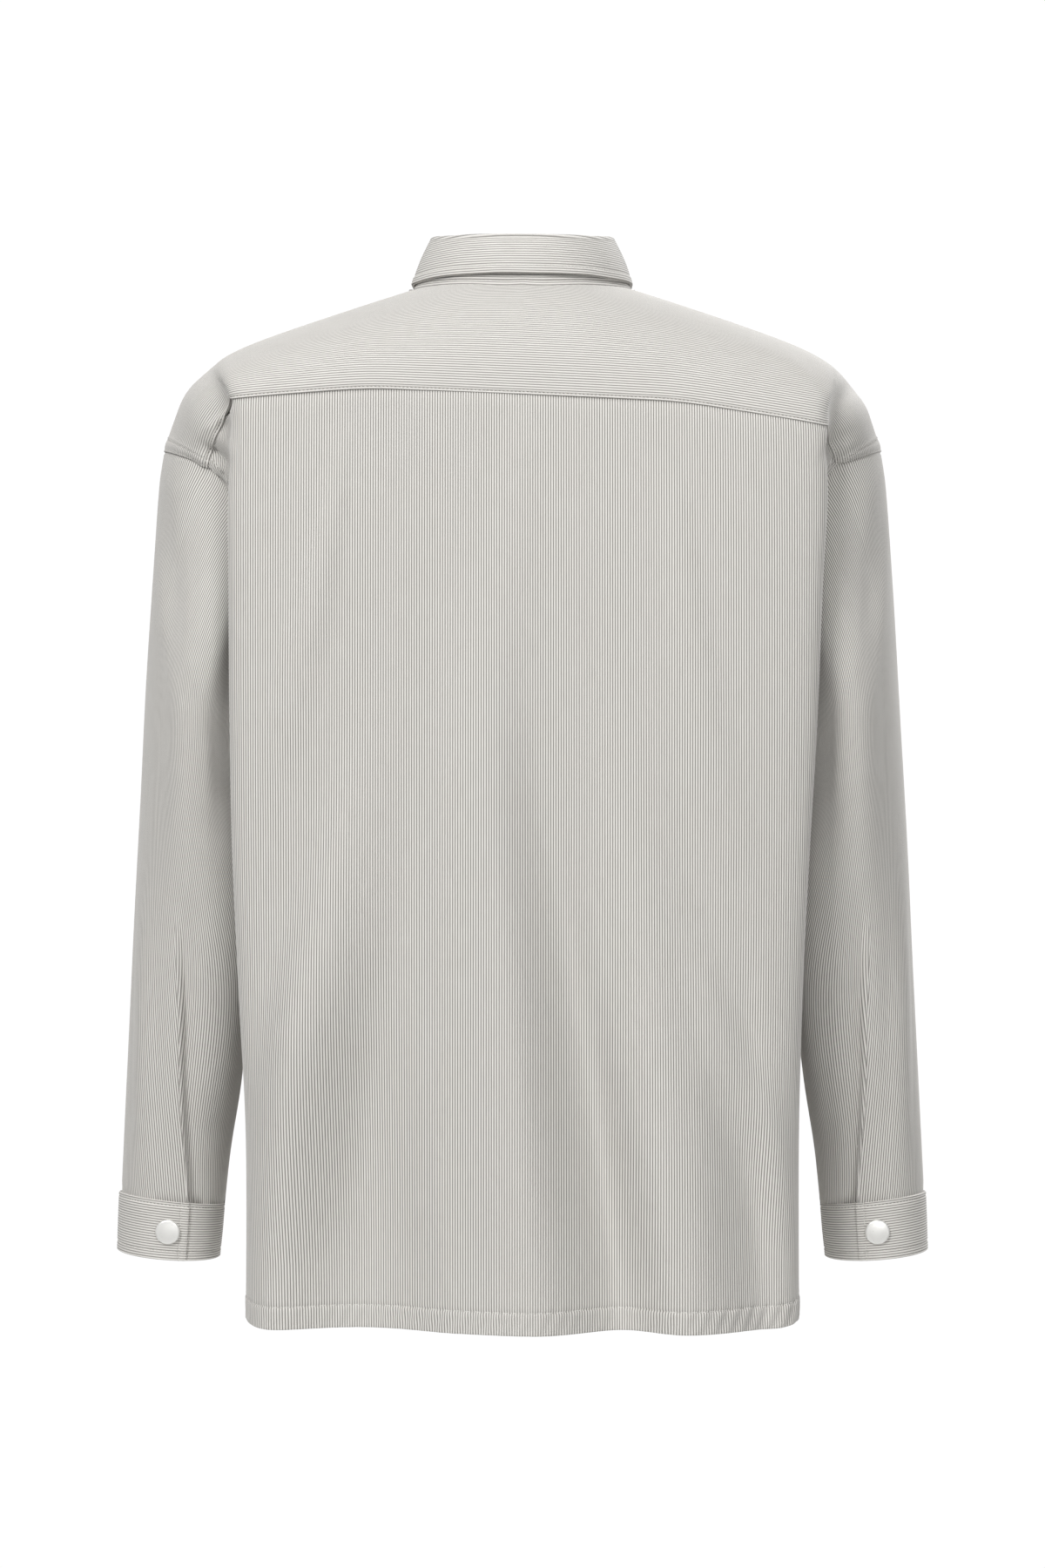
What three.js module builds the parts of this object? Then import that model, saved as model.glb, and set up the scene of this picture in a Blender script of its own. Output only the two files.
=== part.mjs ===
// A long-sleeved shirt jacket in ribbed cloth, worn open underneath: a hollow body, two hanging sleeves,
// a back yoke, a fold-down collar on a stand, a snapped front band and snapped cuffs.
// Millimetres. +X is the wearer's left, +Y the back, +Z up. The origin is the middle of the neck,
// level with the collar seam at the centre of the back, where the wearer's neck and shoulders hold it.
import * as THREE from 'three';

const { lerp, smoothstep, degToRad } = THREE.MathUtils;
const { sin, cos, sqrt, abs, PI } = Math;

// Driving dimensions
const hemLevel = -735;            // collar seam at the centre back down to the hem
const underarmLevel = -308;
const backYokeLevel = -79;        // back yoke seam at the centre back
const chestLevel = -150;          // where the shoulder's front arch turns into the upright front
const clothThickness = 1.6;
const cuffThickness = 2.4;
const standThickness = 2.2;
const leafThickness = 1.8;
const seamGap = 0.3;
const neckHalfWidth = 79;
const neckBack = 70;              // neck seam behind the middle of the neck
const neckFront = 75;
const frontYokeReach = 0.41;      // front yoke seam, as a share of the front arch's reach
const frontOverlap = 15;          // each front passes the centre line by this much
const lapStep = 1.2;              // how far the upper front lifts and the lower one sinks where they lap
const bandWidth = 32;
const bandThickness = 1.2;
const snapRadius = 9;
const cuffHeight = 41;
const standHeight = 33;
const underarm = { x: 182, y: -5 };
const hemRise = 14;               // how much higher the hem lies at the side seams than at its middle

// Columns and rows of the walls
const halfColumns = 18;           // from the centre line to the armhole
const neckColumns = 9;            // of those, how many meet the neck seam on the yoke
const bodyRows = 12;              // hem to underarm
const armholeRows = 6;            // underarm to yoke corner, or to the chest level in front
const frontArchRows = 4;
const yokeRows = 8;
const sleeveRows = 17;
const cuffColumns = 38;

// The shoulder's ridge seen from the back, from the middle of the neck out to the armhole's top
const shoulderRidge = [
  { x: 0, z: 22 },
  { x: 40, z: 17 },
  { x: 79, z: 4.5 },
  { x: 126, z: -10.7 },
  { x: 177, z: -28.3 },
  { x: 202, z: -38.4 },
  { x: 221, z: -49 },
  { x: 233.5, z: -60.5 },
  { x: 246, z: -78 },
  { x: 255.5, z: -101 },
  { x: 258.6, z: -112 },
];

// Level sections of the back: the middle's depth, the fold that stands out beside each armhole,
// the squareness of the curve between them, and the side seam
const backSections = [
  { level: -735, middleY: 116, foldLeft: 196, foldRight: 196, foldY: 62, square: 3.4, seamX: 192, seamY: 0 },
  { level: -600, middleY: 119, foldLeft: 195.5, foldRight: 195.5, foldY: 72, square: 3.4, seamX: 186, seamY: -3 },
  { level: -500, middleY: 122, foldLeft: 200, foldRight: 197.5, foldY: 84, square: 3.6, seamX: 181, seamY: -5 },
  { level: -400, middleY: 125, foldLeft: 204, foldRight: 202, foldY: 92, square: 3.8, seamX: 179, seamY: -5 },
  { level: -308, middleY: 127, foldLeft: 205.5, foldRight: 207, foldY: 95, square: 4, seamX: 182, seamY: -5 },
  { level: -200, middleY: 126, foldLeft: 206.5, foldRight: 211.5, foldY: 97, square: 4, seamX: 182, seamY: -5 },
  { level: -130, middleY: 123, foldLeft: 208, foldRight: 215.5, foldY: 98, square: 4, seamX: 182, seamY: -5 },
  { level: -79, middleY: 120, foldLeft: 209, foldRight: 217, foldY: 98, square: 3.8, seamX: 182, seamY: -5 },
];

// Level sections of the fronts
const frontSections = [
  { level: -735, middleY: -114, cornerX: 191, cornerY: -62, square: 2.8, seamX: 192, seamY: 0 },
  { level: -600, middleY: -119, cornerX: 184, cornerY: -60, square: 2.8, seamX: 186, seamY: -3 },
  { level: -500, middleY: -124, cornerX: 177, cornerY: -58, square: 2.8, seamX: 181, seamY: -5 },
  { level: -400, middleY: -127, cornerX: 174, cornerY: -58, square: 2.8, seamX: 179, seamY: -5 },
  { level: -308, middleY: -128, cornerX: 177, cornerY: -62, square: 2.7, seamX: 182, seamY: -5 },
  { level: -240, middleY: -126, cornerX: 184, cornerY: -72, square: 2.6, seamX: 182, seamY: -5 },
  { level: -150, middleY: -117, cornerX: 199, cornerY: -82, square: 2.5, seamX: 182, seamY: -5 },
];

// The armhole's upright edges, from the underarm up to where the shoulder's arch takes over
const backArmhole = { top: backYokeLevel, reachX: 41, reachY: 83, fallAtTop: 46, pull: 0.2 };
const frontArmhole = { top: chestLevel, reachX: 24, reachY: -70, fallAtTop: 10, pull: 0.04 };

// The back yoke seam falls away towards the armholes, and lies lower on the right
const yokeSeamFall = [
  { x: 0, fall: 0 },
  { x: 73, fall: 0.2 },
  { x: 110, fall: 0.9 },
  { x: 160, fall: 6 },
  { x: 212, fall: 12 },
];
const yokeSeamTilt = 0.042;

// Sleeve rings: outer and inner edge as seen from behind, middle depth and half depth
const sleeveSections = [
  { at: 0, outX: 258.6, outZ: -112, inX: 184, inZ: -308, midY: 0, halfY: 78 },
  { at: 0.08, outX: 262.6, outZ: -138, inX: 190, inZ: -324, midY: -3, halfY: 82 },
  { at: 0.2, outX: 267.6, outZ: -205, inX: 192.5, inZ: -352, midY: -8, halfY: 82 },
  { at: 0.35, outX: 272.8, outZ: -285, inX: 193, inZ: -395, midY: -14, halfY: 78 },
  { at: 0.5, outX: 277.8, outZ: -370, inX: 195, inZ: -445, midY: -20, halfY: 71 },
  { at: 0.65, outX: 282.5, outZ: -455, inX: 199, inZ: -505, midY: -26, halfY: 62 },
  { at: 0.8, outX: 287.2, outZ: -540, inX: 205.5, inZ: -568, midY: -33, halfY: 53 },
  { at: 0.92, outX: 291, outZ: -605, inX: 213.5, inZ: -618, midY: -39, halfY: 45 },
  { at: 1, outX: 293.5, outZ: -650, inX: 218, inZ: -659, midY: -43, halfY: 39.5 },
];
const cuffTop = { outX: 294.4, outZ: -650.3, inX: 217.5, inZ: -659.3, midY: -43, halfY: 39.5, backFall: 0 };
const cuffBottom = {
  outX: 296.2, outZ: -650 - cuffHeight, inX: 220.6, inZ: -656 - cuffHeight, midY: -46, halfY: 39.5, backFall: 2.5,
};
const cuffEdgeTurn = 112;         // degrees from the outer edge, by way of the back, to the cuff's upper end
const cuffLap = 52;               // degrees that the cuff laps over itself
const cuffSnapTurn = 90;

// Ridges of the drape on the back: where each crest starts and ends, its bend, height and half-widths
const backFolds = [
  { x0: 29, z0: -190, x1: 17, z1: -760, bend: 1, height: 13, toLeft: 75, toRight: 62 },
  { x0: -50, z0: -270, x1: -205, z1: -660, bend: 1.7, height: 9, toLeft: 55, toRight: 60 },
  { x0: 98, z0: -260, x1: 205, z1: -660, bend: 1.8, height: 9, toLeft: 60, toRight: 55 },
];
const frontFolds = [
  { x0: 95, z0: -230, x1: 112, z1: -760, bend: 1.2, height: 9, toLeft: 55, toRight: 48 },
  { x0: -88, z0: -250, x1: -118, z1: -760, bend: 1.2, height: 8, toLeft: 50, toRight: 55 },
];
// Soft folds round the sleeve: share of the way round, from and to level, depth and half-width
const sleeveFolds = [
  { share0: 0.2, share1: 0.36, from: -170, to: -420, depth: -6, half: 0.07 },
  { share0: 0.3, share1: 0.24, from: -330, to: -660, depth: 4, half: 0.07 },
  { share0: 0.78, share1: 0.7, from: -220, to: -560, depth: -5, half: 0.08 },
];
// The sleeve's slit end folds over above the cuff: a step that deepens towards the cuff
const slitFold = { share: 0.322, from: -450, to: -650, depth: 7, fade: 0.07 };

// A smooth curve through one named column of a table, with the slope of the neighbours at each row
function column(rows, key, name) {
  const xs = rows.map((row) => row[key]);
  const ys = rows.map((row) => row[name]);
  const last = xs.length - 1;
  const slopes = xs.map((_, i) => {
    const a = Math.max(i - 1, 0);
    const b = Math.min(i + 1, last);
    return (ys[b] - ys[a]) / (xs[b] - xs[a]);
  });
  return (x) => {
    if (x <= xs[0]) return ys[0];
    if (x >= xs[last]) return ys[last];
    let i = 0;
    while (x > xs[i + 1]) i += 1;
    const span = xs[i + 1] - xs[i];
    const t = (x - xs[i]) / span;
    const rise = t * t * (3 - 2 * t);
    return lerp(ys[i], ys[i + 1], rise)
      + span * t * (1 - t) * ((1 - t) * slopes[i] - t * slopes[i + 1]);
  };
}

function columns(rows, key) {
  const names = Object.keys(rows[0]).filter((name) => name !== key);
  const curves = names.map((name) => column(rows, key, name));
  return (x) => Object.fromEntries(names.map((name, i) => [name, curves[i](x)]));
}

// Points of a path at shares of its own length
function pathByShare(points) {
  const lengths = [0];
  for (let i = 1; i < points.length; i += 1) {
    lengths.push(lengths[i - 1] + points[i].distanceTo(points[i - 1]));
  }
  const total = lengths[lengths.length - 1];
  return (share) => {
    const want = Math.min(Math.max(share, 0), 1) * total;
    let i = 0;
    while (i < lengths.length - 2 && lengths[i + 1] < want) i += 1;
    const t = (want - lengths[i]) / (lengths[i + 1] - lengths[i]);
    return points[i].clone().lerp(points[i + 1], t);
  };
}

function remembered(make) {
  const store = new Map();
  return (...keys) => {
    const key = keys.join(' ');
    if (!store.has(key)) store.set(key, make(...keys));
    return store.get(key);
  };
}

const backAt = columns(backSections, 'level');
const frontAt = columns(frontSections, 'level');
const seamFallAt = column(yokeSeamFall, 'x', 'fall');
const sleeveAt = columns(sleeveSections, 'at');

// The armhole's edge, or below the underarm the side seam, at a level
function panelEdge(level, armhole, section) {
  if (level <= underarmLevel) return { x: section.seamX, y: section.seamY, fall: 0 };
  const t = (level - underarmLevel) / (armhole.top - underarmLevel);
  const bulge = sqrt(1 - (1 - t) ** 2) * (1 - armhole.pull * t * t);
  return {
    x: underarm.x + armhole.reachX * t ** 3,
    y: underarm.y + armhole.reachY * bulge,
    fall: armhole.fallAtTop * t * t,
  };
}

// One level section, from the middle out to a rounded corner and on to the panel's edge
const cornerSteps = 40;
const edgeSteps = 16;
const edgePull = 0.42;
function sectionPath(middleY, corner, square, edge) {
  const path = [];
  for (let i = 0; i <= cornerSteps; i += 1) {
    const turn = (i / cornerSteps) * (PI / 2);
    path.push(new THREE.Vector3(
      corner.x * sin(turn) ** (2 / square),
      corner.y + (middleY - corner.y) * cos(turn) ** (2 / square),
      0,
    ));
  }
  const tip = path[path.length - 1];
  const end = new THREE.Vector3(edge.x, edge.y, 0);
  const handle = new THREE.Vector3(0, edgePull * tip.distanceTo(end) * Math.sign(middleY), 0);
  const bend = new THREE.CubicBezierCurve3(tip, tip.clone().sub(handle), end.clone().add(handle), end);
  path.push(...bend.getPoints(edgeSteps).slice(1));
  return path;
}

// The section by share of its width: a fixed share of it runs up to the corner, the rest to the edge
function pathInTwo(path, split) {
  const toCorner = pathByShare(path.slice(0, cornerSteps + 1));
  const toEdge = pathByShare(path.slice(cornerSteps));
  return (share) => (share <= split ? toCorner(share / split) : toEdge((share - split) / (1 - split)));
}

// How much higher than its middle the hem lies, at a step of a section
function hemLift(level, i) {
  const low = smoothstep(-level, -hemLevel - 160, -hemLevel);
  return low * hemRise * smoothstep(i, cornerSteps * 0.6, cornerSteps + edgeSteps);
}

// The back at a level, as a path by share from the centre line to the edge, on one side of the body
const backSplit = 0.78;
const backPath = remembered((level, side) => {
  const section = backAt(level);
  const edge = panelEdge(level, backArmhole, section);
  const corner = { x: side > 0 ? section.foldLeft : section.foldRight, y: section.foldY };
  const path = sectionPath(section.middleY, corner, section.square, edge);
  const nearTop = Math.max(0, (level - underarmLevel) / (backYokeLevel - underarmLevel)) ** 2;
  const fallAt = (point) => (seamFallAt(point.x) - yokeSeamTilt * side * point.x) * nearTop;
  const cornerFall = fallAt(path[cornerSteps]);
  path.forEach((point, i) => {
    const past = Math.max(0, (i - cornerSteps) / edgeSteps);
    const fall = i <= cornerSteps ? fallAt(point) : lerp(cornerFall, edge.fall, past);
    point.z = level - fall + hemLift(level, i);
  });
  return pathInTwo(path, backSplit);
});

const frontPath = remembered((level) => {
  const section = frontAt(level);
  const edge = panelEdge(level, frontArmhole, section);
  const corner = { x: section.cornerX, y: section.cornerY };
  const path = sectionPath(section.middleY, corner, section.square, edge);
  path.forEach((point, i) => {
    const past = Math.max(0, (i - cornerSteps) / edgeSteps);
    point.z = level - edge.fall * past + hemLift(level, i);
  });
  return pathInTwo(path, lerp(0.78, 0.92, smoothstep(level, underarmLevel - 40, chestLevel)));
});

// The ridge as a path by share
const ridgeZ = column(shoulderRidge, 'x', 'z');
const ridgeSteps = 80;
const ridgeEnd = shoulderRidge[shoulderRidge.length - 1].x;
const ridgePath = pathByShare(Array.from({ length: ridgeSteps + 1 }, (_, i) => {
  const x = ridgeEnd * sin((i / ridgeSteps) * (PI / 2));
  return new THREE.Vector3(x, 3 * sin((PI * x) / ridgeEnd), ridgeZ(x));
}));

// The shoulder's skin: arches from the back yoke seam (turn 90 degrees) over the ridge (0)
// to the chest level (-90). across runs from the centre line (0) to the armhole (1).
function shoulder(across, turn, side) {
  const top = ridgePath(across);
  const foot = turn >= 0 ? backPath(backYokeLevel, side)(across) : frontPath(chestLevel)(across);
  return new THREE.Vector3(
    lerp(foot.x, top.x, cos(turn)),
    lerp(top.y, foot.y, abs(sin(turn))),
    lerp(foot.z, top.z, cos(turn)),
  );
}

// The neck seam in the shoulder's own coordinates, by angle from the centre back
const neckAcross = neckHalfWidth / 307;
const backReach = backAt(backYokeLevel).middleY;
const frontReach = -frontAt(chestLevel).middleY;
function neckSpot(angle) {
  const depth = cos(angle) >= 0 ? neckBack / backReach : neckFront / frontReach;
  return { across: neckAcross * abs(sin(angle)), turn: Math.asin(depth * cos(angle)) };
}
const frontSeamTurn = -Math.asin(frontYokeReach);
const neckCornerAngle = PI - Math.acos((frontYokeReach * frontReach) / neckFront);
const neckCorner = neckSpot(neckCornerAngle);

function neckPoint(angle) {
  const spot = neckSpot(angle);
  const side = sin(angle) >= 0 ? 1 : -1;
  const point = shoulder(spot.across, spot.turn, side);
  point.x *= side;
  return point;
}

// Grids of points: rows of points, each wall's outer face lying towards columns x rows
function gridOf(rows, cols, pointAt) {
  return Array.from({ length: rows + 1 }, (_, j) => (
    Array.from({ length: cols + 1 }, (_unused, i) => pointAt(i / cols, j / rows, i, j))
  ));
}

function mirrored(grid) {
  return grid.map((row) => row.map((p) => new THREE.Vector3(-p.x, p.y, p.z)).reverse());
}

function gridNormals(grid, wrap = false) {
  const rows = grid.length;
  const cols = grid[0].length;
  const next = (i) => (wrap ? (i + 1) % cols : Math.min(i + 1, cols - 1));
  const previous = (i) => (wrap ? (i + cols - 1) % cols : Math.max(i - 1, 0));
  return grid.map((row, j) => row.map((_, i) => {
    const along = row[next(i)].clone().sub(row[previous(i)]);
    const up = grid[Math.min(j + 1, rows - 1)][i].clone().sub(grid[Math.max(j - 1, 0)][i]);
    return along.cross(up).normalize();
  }));
}

// Moves the points out along the grid's normals by a height for each point
function raised(grid, heightAt, wrap = false) {
  const normals = gridNormals(grid, wrap);
  return grid.map((row, j) => row.map((p, i) => (
    p.clone().addScaledVector(normals[j][i], heightAt(p, i, j))
  )));
}

// Draws the named edges of a grid in from a seam
function pulledIn(grid, edges) {
  const copy = grid.map((row) => row.map((p) => p.clone()));
  const draw = (p, towards, distance) => p.add(towards.clone().sub(p).setLength(distance));
  const rows = grid.length;
  const cols = grid[0].length;
  if (edges.bottom) copy[0].forEach((p, i) => draw(p, grid[1][i], edges.bottom));
  if (edges.top) copy[rows - 1].forEach((p, i) => draw(p, grid[rows - 2][i], edges.top));
  if (edges.first) copy.forEach((row, j) => draw(row[0], grid[j][1], edges.first));
  if (edges.last) copy.forEach((row, j) => draw(row[cols - 1], grid[j][cols - 2], edges.last));
  return copy;
}

// A closed wall under a grid: the grid is the outer face, and the inner one lies thickness below it
function wallGeometry(grid, thickness, wrap = false) {
  const normals = gridNormals(grid, wrap);
  const inner = grid.map((row, j) => row.map((p, i) => (
    p.clone().addScaledVector(normals[j][i], -thickness)
  )));
  const rows = grid.length;
  const cols = grid[0].length;
  const spans = wrap ? cols : cols - 1;
  const at = (face, j, i) => face * rows * cols + j * cols + (i % cols);
  const index = [];
  const points = [...grid.flat(), ...inner.flat()];
  const quad = (a, b, c, d) => {
    const across = points[a].distanceToSquared(points[c]) <= points[b].distanceToSquared(points[d]);
    index.push(...(across ? [a, b, c, a, c, d] : [a, b, d, b, c, d]));
  };
  for (let j = 0; j < rows - 1; j += 1) {
    for (let i = 0; i < spans; i += 1) {
      quad(at(0, j, i), at(0, j, i + 1), at(0, j + 1, i + 1), at(0, j + 1, i));
      quad(at(1, j, i), at(1, j + 1, i), at(1, j + 1, i + 1), at(1, j, i + 1));
    }
  }
  for (let i = 0; i < spans; i += 1) {
    quad(at(1, 0, i), at(1, 0, i + 1), at(0, 0, i + 1), at(0, 0, i));
    quad(at(0, rows - 1, i), at(0, rows - 1, i + 1), at(1, rows - 1, i + 1), at(1, rows - 1, i));
  }
  if (!wrap) {
    for (let j = 0; j < rows - 1; j += 1) {
      quad(at(1, j, 0), at(0, j, 0), at(0, j + 1, 0), at(1, j + 1, 0));
      quad(at(0, j, cols - 1), at(1, j, cols - 1), at(1, j + 1, cols - 1), at(0, j + 1, cols - 1));
    }
  }
  const geometry = new THREE.BufferGeometry();
  const positions = points.flatMap((p) => [p.x, p.y, p.z]);
  geometry.setAttribute('position', new THREE.Float32BufferAttribute(positions, 3));
  geometry.setIndex(index);
  geometry.computeVertexNormals();
  return geometry;
}

// Height of the drape's ridges at a point of the back or front
function foldHeight(folds, p) {
  return folds.reduce((sum, fold) => {
    const t = (fold.z0 - p.z) / (fold.z0 - fold.z1);
    if (t <= 0) return sum;
    const crest = lerp(fold.x0, fold.x1, t ** fold.bend);
    const half = (p.x > crest ? fold.toLeft : fold.toRight) * (0.35 + 0.65 * t);
    const off = Math.min(abs(p.x - crest) / half, 1);
    return sum + fold.height * smoothstep(t, 0, 0.8) * (1 - off) ** 2 * (1 + 2 * off);
  }, 0) * (1 - smoothstep(abs(p.x), 140, 188));
}

// Shares across the body from the centre line to the armhole, closer together round the corner
const crowd = (t) => t + 0.05 * sin(2 * PI * t) * (t > 0.5 ? -1 : -0.4);
const neckShare = neckColumns / halfColumns;
const backShares = Array.from({ length: halfColumns + 1 }, (_, i) => crowd(i / halfColumns));
const outerShares = Array.from({ length: halfColumns - neckColumns + 1 }, (_, i) => (
  lerp(neckCorner.across, 1, i / (halfColumns - neckColumns))
));

// Levels from the hem up, with one exactly at the underarm
const bodyLevels = Array.from({ length: bodyRows + 1 }, (_, j) => (
  lerp(hemLevel, underarmLevel, j / bodyRows)
));
function levelsTo(top) {
  const upper = Array.from({ length: armholeRows }, (_, j) => (
    lerp(underarmLevel, top, 1 - cos(((j + 1) / armholeRows) * (PI / 2)) ** 1.0 * 1)
  ));
  return [...bodyLevels, ...upper];
}
const backLevels = levelsTo(backYokeLevel);
const frontLevels = levelsTo(chestLevel);

// The back panel, from its left edge to its right as seen from behind
function backSkin() {
  const cols = 2 * halfColumns;
  const grid = gridOf(backLevels.length - 1, cols, (_s, _t, i, j) => {
    const side = i <= halfColumns ? 1 : -1;
    const p = backPath(backLevels[j], side)(backShares[abs(halfColumns - i)]);
    return new THREE.Vector3(side * p.x, p.y, p.z);
  });
  return raised(grid, (p) => foldHeight(backFolds, p));
}

// One half of the yoke: rows run from the back seam to the neck and front seams
function yokeHalf(side) {
  const backTurn = PI / 2;
  const napeTurn = neckSpot(0).turn;
  const topSpot = (i) => (
    i <= neckColumns
      ? neckSpot((i / neckColumns) * neckCornerAngle)
      : { across: outerShares[i - neckColumns], turn: frontSeamTurn }
  );
  return gridOf(yokeRows, halfColumns, (s, t, i) => {
    const low = { across: backShares[i], turn: backTurn };
    const high = topSpot(i);
    const middle = { across: 0, turn: lerp(backTurn, napeTurn, t) };
    const edge = { across: 1, turn: lerp(backTurn, frontSeamTurn, t) };
    const blend = (key, lowFirst, lowLast, highFirst, highLast) => (
      lerp(low[key], high[key], t) + lerp(middle[key], edge[key], s)
      - lerp(lerp(lowFirst, lowLast, s), lerp(highFirst, highLast, s), t)
    );
    const across = blend('across', 0, 1, 0, 1);
    const turn = blend('turn', backTurn, backTurn, napeTurn, frontSeamTurn);
    return shoulder(Math.min(across, 1), turn, side);
  });
}

function yokeSkin() {
  const left = yokeHalf(1);
  const right = yokeHalf(-1);
  return left.map((row, j) => {
    const leftToMiddle = row.slice().reverse();
    const middleToRight = right[j].slice(1).map((p) => new THREE.Vector3(-p.x, p.y, p.z));
    return [...leftToMiddle, ...middleToRight];
  });
}

// Lift that lets the left front lie over the right one along the centre line
function lap(x) {
  return lapStep * (1 - smoothstep(abs(x), 20, 60));
}

// Shares of a front: past the centre line, then to the neck corner, then to the armhole
const frontNeckColumns = 5;
const overlapShare = frontOverlap / 290;
const frontShares = [
  -overlapShare,
  ...Array.from({ length: frontNeckColumns }, (_, i) => neckCorner.across * (i / frontNeckColumns)),
  ...outerShares,
];

// A point of the front skin at a share across and a place down it: 0 to 1 over the arch, then levels
function frontPoint(share, archPart, level) {
  const across = abs(share);
  let p;
  if (archPart !== null) {
    const neckTurn = -Math.asin((neckFront / frontReach) * sqrt(Math.max(0, 1 - (across / neckAcross) ** 2)));
    const topTurn = across < neckCorner.across ? neckTurn : frontSeamTurn;
    p = shoulder(across, lerp(-PI / 2, topTurn, archPart), 1);
  } else {
    p = frontPath(level)(across);
  }
  if (share < 0) p.x = -p.x;
  return p;
}

// The left front as worn, from past the centre line to the side
function frontSkin(folds, side) {
  const rows = frontLevels.length - 1 + frontArchRows;
  const grid = gridOf(rows, frontShares.length - 1, (_s, _t, i, j) => {
    const arch = j >= frontLevels.length - 1 ? (j - frontLevels.length + 1) / frontArchRows : null;
    return frontPoint(frontShares[i], arch, frontLevels[j]);
  });
  return raised(grid, (p) => (
    side * lap(p.x) + foldHeight(folds, new THREE.Vector3(side * p.x, p.y, p.z))
  ));
}

// The armhole as one loop, from its top by way of the back, the underarm and the front
function armholeLoop() {
  const back = backLevels.slice(bodyRows).map((level) => backPath(level, 1)(1));
  const front = frontLevels.slice(bodyRows).map((level) => frontPath(level)(1));
  const archBack = Array.from({ length: yokeRows + 1 }, (_, j) => lerp(PI / 2, frontSeamTurn, j / yokeRows));
  const overBack = archBack.map((turn) => shoulder(1, turn, 1));
  const overFront = Array.from({ length: frontArchRows }, (_, j) => (
    shoulder(1, lerp(frontSeamTurn, -PI / 2, (j + 1) / frontArchRows), 1)
  ));
  // Start at the underarm and go up the front, over the shoulder and down the back
  const over = [...overBack, ...overFront].reverse();
  const loop = [...front.slice(0, -1), ...over, ...back.slice(0, -1).reverse()].slice(0, -1);
  const top = loop.reduce((best, p, i) => (p.x > loop[best].x ? i : best), 0);
  return loop.flatMap((p, i) => {
    const next = loop[(i + 1) % loop.length];
    return i >= top ? [p, p.clone().lerp(next, 0.5)] : [p];
  });
}

// Shares round the loop: 0 at the top of the shoulder, 0.25 behind, 0.5 at the underarm
function loopShares(loop) {
  const closed = [...loop, loop[0]];
  const lengths = [0];
  closed.slice(1).forEach((p, i) => lengths.push(lengths[i] + p.distanceTo(closed[i])));
  const top = loop.reduce((best, p, i) => (p.x > loop[best].x ? i : best), 0);
  const total = lengths[lengths.length - 1];
  return loop.map((_, i) => {
    const share = i <= top
      ? 0.5 + 0.5 * (lengths[i] / lengths[top])
      : 0.5 * ((lengths[i] - lengths[top]) / (total - lengths[top]));
    return i === top ? 0 : share;
  });
}

// A tilted oval ring by share, from its outer edge by way of the back
const ringSteps = 90;
function ringPath(ring) {
  return pathByShare(Array.from({ length: ringSteps + 1 }, (_, i) => {
    const turn = (i / ringSteps) * 2 * PI;
    return new THREE.Vector3(
      lerp(ring.inX, ring.outX, (1 + cos(turn)) / 2),
      ring.midY + ring.halfY * sin(turn),
      lerp(ring.inZ, ring.outZ, (1 + cos(turn)) / 2),
    );
  }));
}

// Signed distance between two shares round a ring
function apart(a, b) {
  return ((a - b + 1.5) % 1) - 0.5;
}

function sleeveFoldHeight(share, z) {
  const soft = sleeveFolds.reduce((sum, fold) => {
    const t = (fold.from - z) / (fold.from - fold.to);
    if (t <= 0 || t >= 1) return sum;
    const off = Math.min(abs(apart(share, lerp(fold.share0, fold.share1, t))) / fold.half, 1);
    return sum + fold.depth * sin(PI * t) * (1 - off * off) ** 2;
  }, 0);
  const past = apart(share, slitFold.share);
  const deep = smoothstep(-z, -slitFold.from, -slitFold.to) * slitFold.depth;
  return soft - (past > 0 ? deep * Math.exp(-past / slitFold.fade) : 0);
}

// Shares at the cuff end: even, with one column on the slit's fold
function cuffShares(shares) {
  const count = shares.length;
  const top = shares.indexOf(0);
  const even = shares.map((_, i) => ((i - top + count) % count) / count);
  const nearest = even.reduce((best, s) => (
    abs(s - slitFold.share) < abs(best - slitFold.share) ? s : best
  ), 0);
  return even.map((s) => s + slitFold.share - nearest);
}

function sleeveSkin() {
  const loop = armholeLoop();
  const shares = loopShares(loop);
  const lowShares = cuffShares(shares);
  const first = ringPath(sleeveSections[0]);
  const place = Array.from({ length: sleeveRows + 1 }, (_, j) => (1 - (j / sleeveRows)) ** 1.25);
  const shareAt = (i, along) => {
    const move = ((lowShares[i] - shares[i] + 1.5) % 1) - 0.5;
    return (shares[i] + move * smoothstep(along, 0.1, 0.75) + 1) % 1;
  };
  const grid = place.map((along) => {
    const ring = ringPath(sleeveAt(along));
    const keep = 1 - smoothstep(along, 0, 0.22);
    return loop.map((p, i) => {
      const drift = p.clone().sub(first(shares[i])).multiplyScalar(keep);
      return ring(shareAt(i, along)).add(drift);
    });
  });
  return raised(grid, (p, i, j) => {
    const fade = smoothstep(sleeveRows - j, 0, 4);
    return sleeveFoldHeight(shareAt(i, place[j]), p.z) * fade;
  }, true);
}

// The cuff is a band round a ring that laps over its own end
function cuffSkin() {
  const start = cuffEdgeTurn - cuffLap;
  const end = cuffEdgeTurn + 360;
  const ringPoint = (ring, turn, lift) => new THREE.Vector3(
    lerp(ring.inX, ring.outX, (1 + cos(turn)) / 2) + lift * cos(turn),
    ring.midY + (ring.halfY + lift) * sin(turn),
    lerp(ring.inZ, ring.outZ, (1 + cos(turn)) / 2) - ring.backFall * sin(turn),
  );
  return gridOf(2, cuffColumns, (s, t) => {
    const turn = degToRad(lerp(start, end, s));
    const lift = lerp(-cuffThickness / 2 - 0.3, cuffThickness / 2 + 0.3, s);
    const low = ringPoint(cuffBottom, turn, lift);
    return low.lerp(ringPoint(cuffTop, turn, lift), t);
  });
}

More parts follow.
